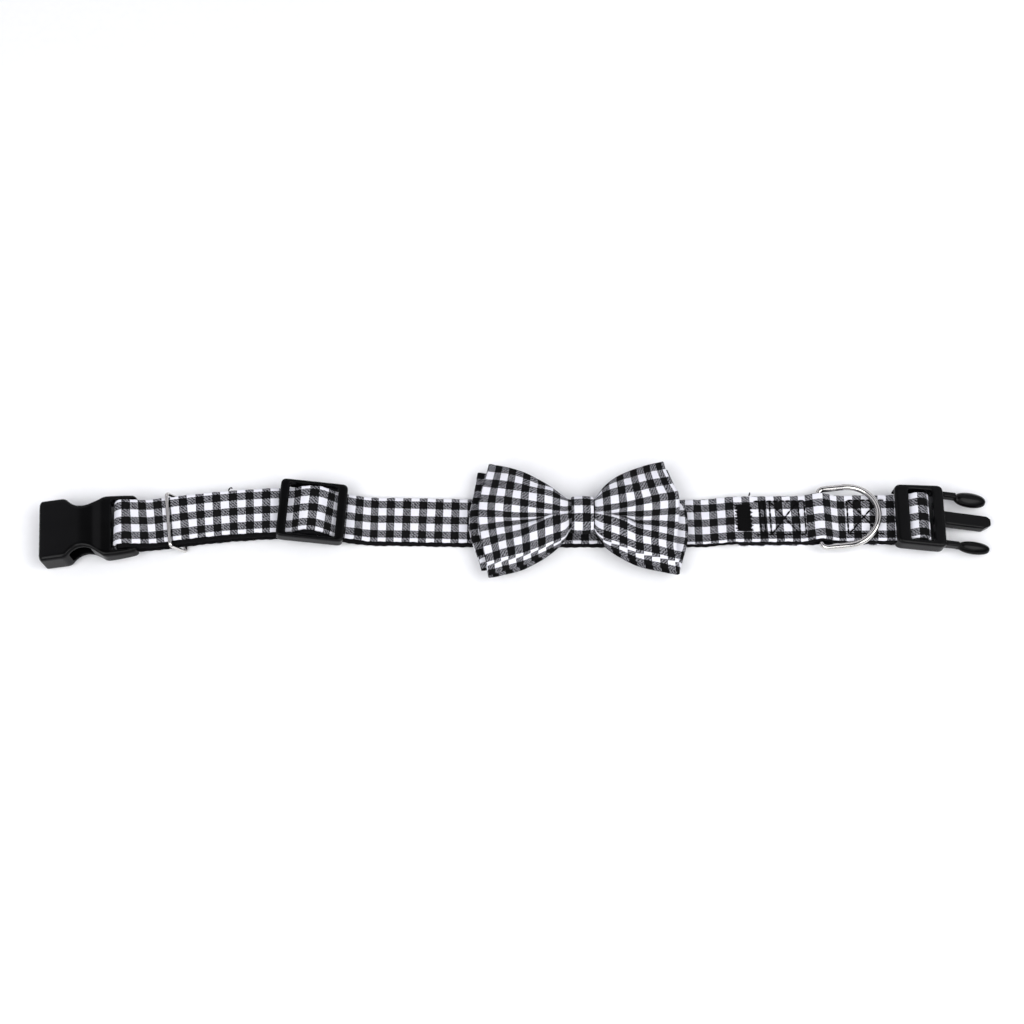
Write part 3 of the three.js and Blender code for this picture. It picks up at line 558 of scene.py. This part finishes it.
def stitching(name, runs, length, radius):
    """Sewn stitches: each run (x, across, x, across) is cut into equal
    stitches, and a stitch is a short tube that rises as a sine from the cloth
    and thins to its two ends, which are closed."""
    starts, ends = [], []
    for x0, y0, x1, y1 in runs:
        count = max(1, round(np.hypot(x1 - x0, y1 - y0) / length))
        t = np.arange(count + 1)[:, None] / count
        corners = np.array([(x0, y0)]) * (1 - t) + np.array([(x1, y1)]) * t
        starts.append(corners[:-1])
        ends.append(corners[1:])
    a, b = np.vstack(starts)[:, None], np.vstack(ends)[:, None]
    t = np.linspace(0.04, 0.96, 7)[None, :, None]
    spot = a + (b - a) * t
    along = (b - a) / np.linalg.norm(b - a, axis=2, keepdims=True)
    r = radius * (0.45 + 0.55 * np.sin(np.pi * t))
    turn = np.linspace(0, 2 * np.pi, 7)[:-1]
    x = spot[..., :1] - along[..., 1:] * r * np.cos(turn)
    across = spot[..., 1:] + along[..., :1] * r * np.cos(turn)
    z = face_height(spot[..., :1]) + STITCH_REST + STITCH_RISE * np.sin(np.pi * t) + r * np.sin(turn)
    points = beside(x, across, z)
    count, rings, around = points.shape[:3]
    i, j, k = np.meshgrid(np.arange(count), np.arange(rings - 1), np.arange(around), indexing="ij")
    here = (i * rings + j) * around
    on = (k + 1) % around
    faces = np.stack([here + k, here + on, here + around + on, here + around + k], -1)
    faces = faces.reshape(-1, 4).tolist()
    first = np.arange(count)[:, None] * rings * around + np.arange(around)[::-1]
    last = (np.arange(count)[:, None] * rings + rings - 1) * around + np.arange(around)
    mesh = bpy.data.meshes.new(name)
    mesh.from_pydata(points.reshape(-1, 3) * MM, [], faces + first.tolist() + last.tolist())
    mesh.shade_smooth()
    piece = bpy.data.objects.new(name, mesh)
    bpy.context.scene.collection.objects.link(piece)
    return dress(piece, thread, "collar")


def crossed_box(left, right, start, stop):
    """A sewn box with a cross: its two long sides and the cross between start and stop."""
    sides = [(left, y, right, y) for y in (-SEAM_Y, SEAM_Y)]
    return sides + [(start, -CROSS_Y, stop, CROSS_Y), (start, CROSS_Y, stop, -CROSS_Y)]


TACK_LEFT, TACK_RIGHT, TACK_NEAR, TACK_PITCH, TACK_ROWS, TACK_RAGGED = 83.8, 90.1, -5.1, 0.5, 22, 0.5
bar_tack = [(TACK_LEFT + TACK_RAGGED * np.sin(k * 2.3), TACK_NEAR + k * TACK_PITCH,
             TACK_RIGHT + TACK_RAGGED * np.sin(k * 1.7 + 1), TACK_NEAR + k * TACK_PITCH)
            for k in range(TACK_ROWS)]
upright = [(x, -SEAM_Y, x, SEAM_Y) for x in (93.2, 95.0, 97.0, 108.0, 110.2, 126.5)]
boxes = crossed_box(91, 110.2, 97.2, 107.8) + crossed_box(126.5, 140, 127, 138)
stitching("bar_tack", bar_tack, 6.4, 0.42)
stitching("box_stitches", boxes + upright, 2.4, 0.36)
stray_ends = [(-109.2, 9.4, -108.3, 10.9), (-108.3, 10.9, -107.6, 10.3), (89.4, 9.2, 89.9, 10.9)]
stitching("stray_threads", stray_ends, 3.0, 0.3)


# The bow

BOW_X = 25.2
SPREAD, CLOTH, PUFF = 1.4, 1.0, 3.0
LEFT, RIGHT = 0, 1
LOOP_ROWS, LOOP_COLUMNS = 360, 97
BACK_SEAT, FRONT_SEAT = 5.4, 8.1   # how high each layer's lower cloth lies
HEM_THREADS = 13.45                # the near hem's cloth starts this many squares in

# Side profile of a wing: the share of its length, then the heights of the back
# layer's lower and upper cloth and the front layer's, in shares of the puff
PROFILE = np.array([
    (0.14, 0, 0, 0, 0), (0.34, -0.35, 0.1, 0.15, 0.75), (0.58, -0.6, 0.15, 0.25, 1.1),
    (0.8, -0.65, 0.05, 0.2, 1.0), (0.93, -0.6, -0.15, 0.1, 0.6)])

# Where the front layer's threads lie: each wing has stations at a distance
# from the bow's middle (mm), and at each the sideways place and the rise over
# the profile of the threads at THREADS squares from the far edge. Between
# about five and ten squares the cloth sinks into the pleat.
THREADS = np.array([0, 1, 2.5, 4.5, 5.6, 6.5, 7.6, 8.5, 9.8, 10.5, 11.5, 12.5, 13.6, 14.7])
PINCH_Y = [5.4, 5.6, 4.9, 1.6, 0.2, -0.1, -0.3, -0.5, -0.6, -1.8, -3.4, -4.9, -5.6, -5.8]
PINCH_RISE = [-1.3, -1.0, 0.0, 0.9, -0.0, -0.6, -0.9, -0.6, 0.7, 1.1, 0.8, 0.1, -0.8, -1.5]
FRONT = [
    {"out": [0, 4.3, 7.3, 12.3, 16.8, 24.8, 39.3], "half": 39.3,
     "y": [PINCH_Y, PINCH_Y,
           [6.9, 6.4, 5.5, 0.8, -0.4, -0.4, -0.4, -0.5, -1.2, -3.6, -6.6, -9.2, -10.6, -10.6],
           [10.2, 9.7, 6.7, 1.2, -0.4, -1.0, -1.1, -1.6, -2.9, -5.6, -8.7, -11.5, -13.9, -14.9],
           [13.0, 10.7, 7.5, 1.6, -0.1, -1.5, -2.4, -3.3, -5.4, -7.3, -10.4, -13.5, -16.1, -17.9],
           [17.1, 13.8, 9.1, 2.7, 0.0, -2.2, -3.7, -5.2, -8.4, -10.1, -13.2, -16.3, -19.4, -21.9],
           [20.9, 17.2, 11.8, 5.5, 1.9, -1.0, -4.3, -7.1, -11.0, -13.1, -16.2, -19.2, -22.4, -25.3]],
     "rise": [PINCH_RISE, PINCH_RISE,
              [-1.0, -0.4, 0.5, 1.2, 0.3, -0.4, -0.8, -0.4, 1.3, 1.9, 2.0, 1.2, -0.5, -1.6],
              [-1.2, -0.5, 0.8, 0.9, -0.2, -1.2, -1.9, -1.3, 1.3, 1.6, 1.5, 0.6, -1.0, -2.8],
              [-2.1, -0.7, 0.5, 0.7, -0.4, -1.3, -2.1, -1.7, 0.9, 1.1, 0.5, 0.1, -1.5, -3.3],
              [-3.1, -1.4, 0.1, 0.3, -0.3, -0.8, -1.5, -1.1, -0.2, 0.3, 0.1, -0.1, -1.6, -3.3],
              [-1.8, -1.0, -0.2, 0, 0, 0, 0, 0, 0, 0, -0.2, -0.4, -1.3, -2.4]],
     "short": [4.0, 3.3, 2.0, 0.5, 0.1, 0, 0.2, 0.45, 1.1, 1.5, 2.2, 2.9, 3.5, 4.0]},
    {"out": [0, 4.3, 5.8, 8.9, 14.9, 21.7, 36.6], "half": 36.6,
     "y": [PINCH_Y, PINCH_Y,
           [7.0, 6.5, 5.8, 0.7, -0.2, -0.1, -0.1, -0.2, -0.8, -3.1, -5.5, -7.5, -8.7, -9.0],
           [10.7, 9.9, 6.6, 0.8, -0.5, -0.5, -0.5, -0.8, -1.9, -4.6, -7.3, -9.6, -12.0, -12.9],
           [15.3, 12.5, 7.8, 1.5, 0.2, -0.8, -1.4, -2.0, -4.3, -6.7, -9.5, -12.3, -15.0, -17.0],
           [18.1, 14.3, 9.1, 2.8, 0.5, -1.4, -3.3, -5.1, -7.8, -9.4, -12.3, -15.2, -18.2, -20.4],
           [22.0, 18.2, 13.1, 6.7, 3.0, 0.0, -3.3, -6.0, -9.8, -11.8, -14.7, -17.7, -20.9, -23.9]],
     "rise": [PINCH_RISE, PINCH_RISE,
              [-0.9, -0.4, 0.4, 1.3, 0.3, -0.4, -0.7, -0.4, 1.3, 1.8, 1.8, 1.0, -0.6, -1.3],
              [-1.1, -0.4, 1.1, 1.3, 0.1, -0.9, -1.4, -0.9, 1.3, 1.9, 1.9, 0.9, -0.9, -2.2],
              [-2.6, -1.2, 0.5, 0.7, -0.6, -1.6, -2.3, -1.8, 0.9, 1.1, 1.0, 0.2, -1.5, -3.2],
              [-3.2, -1.5, 0.0, 0.2, -0.6, -1.2, -2.0, -1.4, -0.1, 0.3, 0.0, -0.3, -1.7, -3.5],
              [-2.2, -1.2, -0.2, 0, 0, 0, 0, 0, 0, 0, -0.3, -0.5, -1.5, -2.6]],
     "short": [5.3, 4.7, 3.0, 0.2, 0, 0.2, 0.5, 0.8, 1.2, 1.5, 1.7, 1.3, 1.0, 0.8]}]


def back_wing(half, far_edge, near_edge, short):
    """The back layer's stations: the same threads spread evenly between its
    edges, which run straight from the pinch to its end."""
    share = THREADS / THREADS[-1]
    out = [0, 4.3, 12, 24, half]
    far_pinch, near_pinch = 5.2, -5.6
    edges = [(far_pinch + (far_edge - far_pinch) * k, near_pinch + (near_edge - near_pinch) * k)
             for k in (0, 0, 0.42, 0.72, 1)]
    fold = 0.8 * np.cos(4 * np.pi * share)
    return {"out": out, "half": half, "short": short,
            "y": [a + (b - a) * share for a, b in edges],
            "rise": [-fold * k - 0.5 * (2 * share - 1) ** 8 for k in (1, 1, 0.6, 0.2, 0)]}


BACK = [back_wing(42.7, 18.9, -21.1, [3.0, 2.6, 2.0, 1.0, 0.5, 0.2, 0, 0.1, 0.5, 1.0, 1.9, 2.9, 3.9, 4.7]),
        back_wing(39.9, 20.0, -22.7, [7.0, 6.0, 4.3, 2.6, 0.5, 0.1, 0, 0, 0.2, 0.6, 1.3, 2.2, 3.1, 4.2])]


def smooth_between(knots, values, at):
    """A smooth curve through values at knots: cubics whose slope at a knot is
    the harmonic mean of the slopes beside it, or level at a turning point."""
    knots, values = np.asarray(knots, float), np.asarray(values, float)
    step = np.diff(knots).reshape((-1,) + (1,) * (values.ndim - 1))
    rise = np.diff(values, axis=0) / step
    same = rise[:-1] * rise[1:] > 0
    inner = np.where(same, 2 * rise[:-1] * rise[1:] / np.where(same, rise[:-1] + rise[1:], 1), 0)
    slope = np.concatenate([rise[:1], inner, rise[-1:]])
    i = np.clip(np.searchsorted(knots, at, "right") - 1, 0, len(knots) - 2)
    t = (np.clip(at, knots[0], knots[-1]) - knots[i]) / np.diff(knots)[i]
    t = t.reshape((-1,) + (1,) * (values.ndim - 1))
    a, b, h = values[i], values[i + 1], step[i]
    return (a * (1 + 2 * t) * (1 - t) ** 2 + b * t * t * (3 - 2 * t)
            + h * (slope[i] * t * (1 - t) ** 2 - slope[i + 1] * t * t * (1 - t)))


def wing_curve(half, seat, low, high):
    """One wing of a loop in side view (d, z) from the middle of the upper
    cloth, round the fold at the end and back to the middle of the lower."""
    out = PROFILE[:, 0] * half
    upper = np.stack([out, seat + SPREAD + PROFILE[:, high] * PUFF], -1)
    lower = np.stack([out, seat + PROFILE[:, low] * PUFF], -1)
    tip, fold = (upper[-1, 1] + lower[-1, 1]) / 2, CLOTH * 0.9
    k = np.array([-1, 0, 1])
    end = np.stack([half - 0.35 * fold * k * k, tip - fold * k], -1)
    points = np.vstack([[(0, seat + SPREAD)], upper, end, lower[::-1], [(0, seat)]])
    return spline_through(points, 24)


def bow_layer(name, wings, seat, low, high):
    """A gathered loop of cloth: its side view sets how far out and how high
    each line of threads starts, and the wings' stations move every thread
    sideways, up into the lobes or down into the pleat. The lower cloth lies
    under the upper one and never nearer to it than its own thickness."""
    right = wing_curve(wings[RIGHT]["half"], seat, low, high)
    left = wing_curve(wings[LEFT]["half"], seat, low, high)
    line, at, along = even_loop(np.vstack([right, left[::-1] * (-1, 1)]), LOOP_ROWS)
    up = 0.5 + 0.5 * smooth_between([-0.9, 0.9], [-1, 1], along[:, 0])
    threads = np.linspace(0, THREADS[-1], LOOP_COLUMNS)
    share = threads / THREADS[-1]
    side = (line[:, 0] > 0).astype(int)
    distance = np.abs(line[:, 0])
    y = np.zeros((LOOP_ROWS, LOOP_COLUMNS))
    rise, short = y.copy(), y.copy()
    for wing in (LEFT, RIGHT):
        rows = side == wing
        station_y = smooth_between(THREADS, np.array(wings[wing]["y"]).T, threads).T
        station_rise = smooth_between(THREADS, np.array(wings[wing]["rise"]).T, threads).T
        y[rows] = smooth_between(wings[wing]["out"], station_y, distance[rows])
        rise[rows] = smooth_between(wings[wing]["out"], station_rise, distance[rows])
        out = np.clip(distance[rows] / wings[wing]["half"], 0, 1)[:, None]
        short[rows] = smooth_between(THREADS, wings[wing]["short"], threads)[None, :] * out ** 2
    upper = up[:, None]
    under_y = y[:, :1] + (y[:, -1:] - y[:, :1]) * share
    under_rise = np.minimum(rise, 0) * 0.9
    base = line[:, 1:2]
    y = y * upper + (under_y + (0.5 - share) * 0.5) * (1 - upper)
    z = base + rise * upper + under_rise * (1 - upper)
    x = BOW_X + np.sign(line[:, :1]) * (distance[:, None] - short)
    ripple = 0.16 * np.sin(threads * 1.7 + x * 0.23) * np.clip(distance / 14, 0, 1)[:, None]
    z = z + ripple * upper
    surface = np.stack(np.broadcast_arrays(x, y, z), -1)
    du = np.roll(surface, -1, 0) - np.roll(surface, 1, 0)
    dv = np.gradient(surface, axis=1)
    normal = np.cross(dv, du)
    normal /= np.linalg.norm(normal, axis=2, keepdims=True)
    skin = CLOTH / 2 - 0.1
    outer, inner = surface + normal * skin, surface - normal * skin
    points = np.concatenate([outer, inner[:, ::-1]], 1)
    reach = np.append(np.where(at[:-1] > at[-1] / 2, at[:-1] - at[-1], at[:-1]), 0)
    reach = reach + np.clip(-np.append(line[:, 0], 0) / 4, -1, 1) * 0.65
    span = np.concatenate([threads, threads[::-1], threads[:1]]) * SQUARE
    hem = np.concatenate([threads > HEM_THREADS, threads[::-1] > HEM_THREADS, [False]]) * SQUARE
    cloth = np.stack(np.broadcast_arrays(reach[:, None] + hem[None, :], span[None, :]), -1)
    return grid_piece(name, points, cloth, (True, True), flip=True)


for name, wings, seat, low, high, node, width in (
        ("bow_back_loop", BACK, BACK_SEAT, 1, 2, "bow_back", 0.041),
        ("bow_front_loop", FRONT, FRONT_SEAT, 3, 4, "bow_front", 0.0456)):
    loop_piece = bow_layer(name, wings, seat, low, high)
    dress(loop_piece, bow_gingham, "collar", [node])
    whole = 2 * (wings[LEFT]["half"] + wings[RIGHT]["half"])
    whole * MM


def bow_band():
    """The band round the bow's middle: a cloth section along X, carried round
    a blunt oval in Y and Z (a superellipse of power blunt)."""
    low, high, half_y, half_width, blunt = 2.6, 12.5, 7.2, 4.2, 2.3
    middle, half_z = (low + high) / 2, (high - low) / 2
    a = np.linspace(0, 2 * np.pi, 721)
    power = 2 / blunt
    oval = np.stack([np.sign(np.cos(a)) * np.abs(np.cos(a)) ** power * (half_y - 0.5),
                     middle + np.sign(np.sin(a)) * np.abs(np.sin(a)) ** power * (half_z - 0.5)], -1)
    line, at, along = even_loop(oval, 140)
    outward = np.stack([along[:, 1], -along[:, 0]], -1)
    section = flat_section(-0.4, 0.4, half_width, 0.35, 25)
    w, skin = section[None, :, 0], section[None, :, 1]
    crown = 0.35 * np.cos(w / half_width * np.pi / 2)
    points = np.stack(np.broadcast_arrays(
        BOW_X + w, line[:, None, 0] + outward[:, None, 0] * (skin + crown),
        line[:, None, 1] + outward[:, None, 1] * (skin + crown)), -1)
    span = np.concatenate([section[:, 0], section[:1, 0]])
    cloth = np.stack(np.broadcast_arrays(span[None, :], at[:, None]), -1)
    return grid_piece("bow_middle_band", points, cloth, (True, True), flip=True)


band = dress(bow_band(), band_gingham, "collar", ["bow_band"])


# The wire rings

def wire_ring(name, plan, wire, place):
    """A round wire along a closed plan outline: a circle of wire / 2 about
    each point, in the plane of the outline's normal and its own upright."""
    line, _, along = even_loop(np.vstack([plan, plan[:1]]), 240)
    side = np.stack([along[:, 1], -along[:, 0]], -1)
    a = np.linspace(0, 2 * np.pi, 25)[:-1]
    r = wire / 2
    across = line[:, None] + side[:, None] * r * np.cos(a)[:, None]
    points = np.stack(np.broadcast_arrays(across[..., 0], across[..., 1], r * np.sin(a)[None, :]), -1)
    return grid_piece(name, place(points), closed=(True, True))


def arc(cx, cy, r, start, stop, count):
    """Points on an arc about (cx, cy), from start to stop in half turns."""
    a = np.linspace(start, stop, count) * np.pi
    return np.stack([cx + r * np.cos(a), cy + r * np.sin(a)], -1)


RING_WIRE, RING_HALF, RING_CORNER, RING_DEPTH, RING_PLAY = 2.4, 12.2, 2.4, 22.2, 0.3
d_plan = np.vstack([
    arc(RING_CORNER, -RING_HALF + RING_CORNER, RING_CORNER, 1, 1.5, 12),
    arc(RING_DEPTH - RING_HALF, 0, RING_HALF, -0.5, 0.5, 60),
    arc(RING_CORNER, RING_HALF - RING_CORNER, RING_CORNER, 0.5, 1, 12)])
crossing = RING_DEPTH - RING_HALF + np.sqrt(RING_HALF ** 2 - STRAP_HALF ** 2)
strap_rise = (PRONG_BAR_Z - 0.1 - UPPER_SEAM) / (PRONG_X - PRONG_WRAP * 2 - RISE_FOOT)
crossed_seam = UPPER_SEAM + strap_rise * (RING_X + crossing - RISE_FOOT)
ring_rest = np.arcsin((crossed_seam + FACE_OUT + RING_PLAY + RING_WIRE / 2 - RING_BAR_Z) / crossing)
dress(wire_ring("d_ring_wire", d_plan, RING_WIRE, lambda p: station(p, RING_X, RING_BAR_Z, -ring_rest)),
      nickel, "ring", ["d_ring"])

KEEPER_X, KEEPER_WIRE, KEEPER_LEAN, KEEPER_CORNER = -129.5, 1.3, np.radians(32), 1.4
KEEPER_UNDER, KEEPER_OVER, KEEPER_BESIDE = 0.2, 0.3, 0.4
keeper_low = RUN_LOW - FACE_OUT - KEEPER_UNDER - KEEPER_WIRE / 2
keeper_top = RUN_HIGH + FACE_OUT + KEEPER_OVER + KEEPER_WIRE / 2
reach_x = (keeper_top - keeper_low) / 2 / np.cos(KEEPER_LEAN) - KEEPER_CORNER
reach_y = STRAP_HALF + KEEPER_BESIDE + KEEPER_WIRE / 2 - KEEPER_CORNER
k_plan = np.vstack([arc(x, y, KEEPER_CORNER, start, start + 0.5, 9) for x, y, start in (
    (-reach_x, -reach_y, 1), (reach_x, -reach_y, 1.5), (reach_x, reach_y, 0), (-reach_x, reach_y, 0.5))])
dress(wire_ring("keeper_wire", k_plan, KEEPER_WIRE,
                lambda p: station(p, KEEPER_X, (keeper_low + keeper_top) / 2, np.pi / 2 - KEEPER_LEAN)),
      nickel, "keeper", ["keeper_ring"])


# The moulded pieces

def solid_copy(name, node):
    """A copy of a solid with its corners merged."""
    piece = frame["nodes"][node].copy()
    piece.data = piece.data.copy()
    piece.name = name
    piece.data.name = name
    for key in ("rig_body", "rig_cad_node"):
        if key in piece:
            del piece[key]
    piece.parent = None
    bpy.context.scene.collection.objects.link(piece)
    weld = piece.modifiers.new("weld", "WELD")
    weld.merge_threshold = 1e-6
    return piece


TOOL_CORNER = 0.8


def rounded_block(name, x, half_width, low, high, place, corner=TOOL_CORNER):
    """A block carried along x: at each x a rounded rectangle, half_width to
    each side, from low to high, whose corners are quarter circles."""
    x, half_width, low, high = [a[:, None] for a in np.broadcast_arrays(x, half_width, low, high)]
    quarter = np.linspace(0, np.pi / 2, 7)
    angle = (quarter[None, :] + np.arange(4)[:, None] * np.pi / 2).ravel()
    side = np.repeat([1, -1, -1, 1], 7)
    top = np.repeat([1, 1, -1, -1], 7)
    y = side * (half_width - corner) + corner * np.cos(angle)
    middle, half_height = (low + high) / 2, (high - low) / 2
    z = middle + top * (half_height - corner) + corner * np.sin(angle)
    points = place(np.stack([x + 0 * y, y, z], -1))
    return grid_piece(name, points, closed=(False, True), flip=True, caps=True)


def carved(piece, tools, voxel, rounds):
    """A piece with the tools cut from it (DIFFERENCE) or joined to it (UNION),
    rebuilt in voxels and smoothed, so that its edges are as round as moulded ones."""
    for tool, way in tools:
        cut = piece.modifiers.new(tool.name, "BOOLEAN")
        cut.operation, cut.object, cut.solver = way, tool, "EXACT"
    remesh = piece.modifiers.new("voxels", "REMESH")
    remesh.mode = "VOXEL"
    remesh.voxel_size = voxel * MM
    smooth = piece.modifiers.new("smooth", "SMOOTH")
    smooth.factor = 0.5
    smooth.iterations = rounds
    bpy.context.view_layer.update()
    done = bpy.data.meshes.new_from_object(piece.evaluated_get(bpy.context.evaluated_depsgraph_get()))
    piece.modifiers.clear()
    piece.data = done
    for tool, _ in tools:
        bpy.data.objects.remove(tool)
    done.shade_smooth()
    return piece


PRONG_PITCH, PRONG_DROOP, FRAME_FRONT = np.radians(6), np.radians(7.5), 9.0
PRONG_SPACING, LEAF_X, LEAF_HALF, LEAF_THICK, LEAF_Z = 10.2, 20.8, 6.4, 2.3, 0.2
LEAF_START, LEAF_CLEAR = 14.6, 31.0   # the solid's leaves are cut away between these


def finger(p):
    """Points of the prongs, drooped about the frame's front and set in place."""
    x, z = p[..., 0] - FRAME_FRONT, p[..., 2]
    points = np.stack([FRAME_FRONT + x * np.cos(PRONG_DROOP) + z * np.sin(PRONG_DROOP), p[..., 1],
                       z * np.cos(PRONG_DROOP) - x * np.sin(PRONG_DROOP)], -1)
    return station(points, PRONG_X, PRONG_BAR_Z, PRONG_PITCH)


def leaf(name, middle, half_width):
    """A prong's plump leaf: along x its width is half_width times the 0.75th
    power of a half circle, and its section is a ridged oval of power 1.7."""
    t = np.radians(np.linspace(-89, 89, 45))[:, None]
    a = np.linspace(0, 2 * np.pi, 49)[None, :-1]
    power = 2 / 1.7
    y = middle + half_width * np.cos(t) ** 0.75 * np.sign(np.cos(a)) * np.abs(np.cos(a)) ** power
    z = LEAF_Z + LEAF_THICK * np.cos(t) ** 0.6 * np.sign(np.sin(a)) * np.abs(np.sin(a)) ** power
    points = finger(np.stack([LEAF_X + LEAF_HALF * np.sin(t) + 0 * a, y, z], -1))
    return grid_piece(name, points, closed=(False, True), flip=True, caps=True)


# The socket's outline along x from its mouth: rows of x in shares of the slot's
# place and the half width in shares of SOCKET_HALF, then rows of x and the height
SOCKET_LENGTH, SOCKET_SLOT, SOCKET_HALF, SOCKET_HOLLOW = 36.3, 27.0, 12.4, 19.5
SOCKET_SIDE = np.array([
    (0, 0.93), (0.03, 1), (0.33, 1), (0.38, 0.97), (0.43, 0.865), (0.48, 0.78), (0.55, 0.715), (0.62, 0.7),
    (0.69, 0.73), (0.76, 0.8), (0.83, 0.9), (0.89, 0.99), (0.94, 1.01), (1.3, 0.96), (1.344, 0.9)])
SOCKET_TOP = np.array([(0, 9.2), (1.5, 10), (15, 9.9), (20, 9.1), (24, 7.2), (30, 6.3), (36.3, 5.7)])
SOCKET_VOXEL, SOLID_VOXEL = 0.25, 0.28


def socket_body():
    """The socket's smooth body, with its hollow, the strap's slot and the bar
    that the strap is sewn round."""
    def place(p):
        return station(p + (-SOCKET_BAR_IN, 0, -SOCKET_BAR_UP), SOCKET_X, SOCKET_BAR_Z, -SOCKET_PITCH)

    x = np.linspace(0, SOCKET_LENGTH, 150)
    width = SOCKET_HALF * smooth_between(*SOCKET_SIDE.T, x / SOCKET_SLOT)
    body = rounded_block("socket_body", x, width, 0.0, smooth_between(*SOCKET_TOP.T, x), place, 1.5)
    hollow = rounded_block("socket_hollow", np.array([-1, SOCKET_HOLLOW]), 10.7, 2.0, 8.0, place)
    slot = rounded_block("socket_slot", np.array([SOCKET_SLOT, SOCKET_LENGTH + 1.7]), 10.4, -2.0, 12.0, place)
    bar = rounded_block("socket_bar", SOCKET_BAR_IN + np.array([-1.1, 1.1]), 11.4,
                        SOCKET_BAR_UP - 1.1, SOCKET_BAR_UP + 1.1, place)
    return carved(body, [(hollow, "DIFFERENCE"), (slot, "DIFFERENCE"), (bar, "UNION")], SOCKET_VOXEL, 8)


dress(socket_body(), plastic, "collar", ["buckle_socket"])
dress(carved(solid_copy("slider_body", "slider"), [], SOLID_VOXEL, 12),
      plastic, "collar", ["slider"])
leaves = []
for name, side, middle, half_width in (("far_leaf", 1, 9.5, 3.1), ("near_leaf", -1, -10.5, 2.6)):
    cut = rounded_block(name + "_cut", np.array([LEAF_START, LEAF_CLEAR]), 4.2, -5.0, 5.0,
                        lambda p: finger(p + (0, side * PRONG_SPACING, 0)))
    leaves += [(cut, "DIFFERENCE"), (leaf(name, middle, half_width), "UNION")]
dress(carved(solid_copy("prong_body", "buckle_prongs"), leaves, SOLID_VOXEL, 8),
      plastic, "collar", ["buckle_prongs"])


# Floor and sky

FLOOR_HALF, FLOOR_DROP = 3000.0, 0.02
corners = np.meshgrid([-FLOOR_HALF, FLOOR_HALF], [-FLOOR_HALF, FLOOR_HALF], indexing="ij")
floor = grid_piece("studio_floor", np.stack(corners + [np.full((2, 2), -FLOOR_DROP)], -1))
floor.data.materials.append(floor_finish())

SKY_DARK, SKY_WHITE, SKY_CAP = (0.05, 0.05, 0.055, 1), (1.0, 1.0, 1.07, 1), (0.04, 0.04, 0.045, 1)
world = bpy.data.worlds.new("studio")
bpy.context.scene.world = world
world.use_nodes = True
sky = Paint(world.node_tree)
height = sky.node("SeparateXYZ", 2, Vector=sky.node("TexCoord", "Generated"))
glow = sky.node("ValToRGB", Fac=height, stops=[
    (0.25, SKY_DARK), (0.6, SKY_WHITE), (0.8, SKY_WHITE), (0.9, SKY_CAP)])
sky.feed(sky.tree.nodes["Background"].inputs["Color"], glow)
sky.tree.nodes["Background"].inputs["Strength"].default_value = 0.85
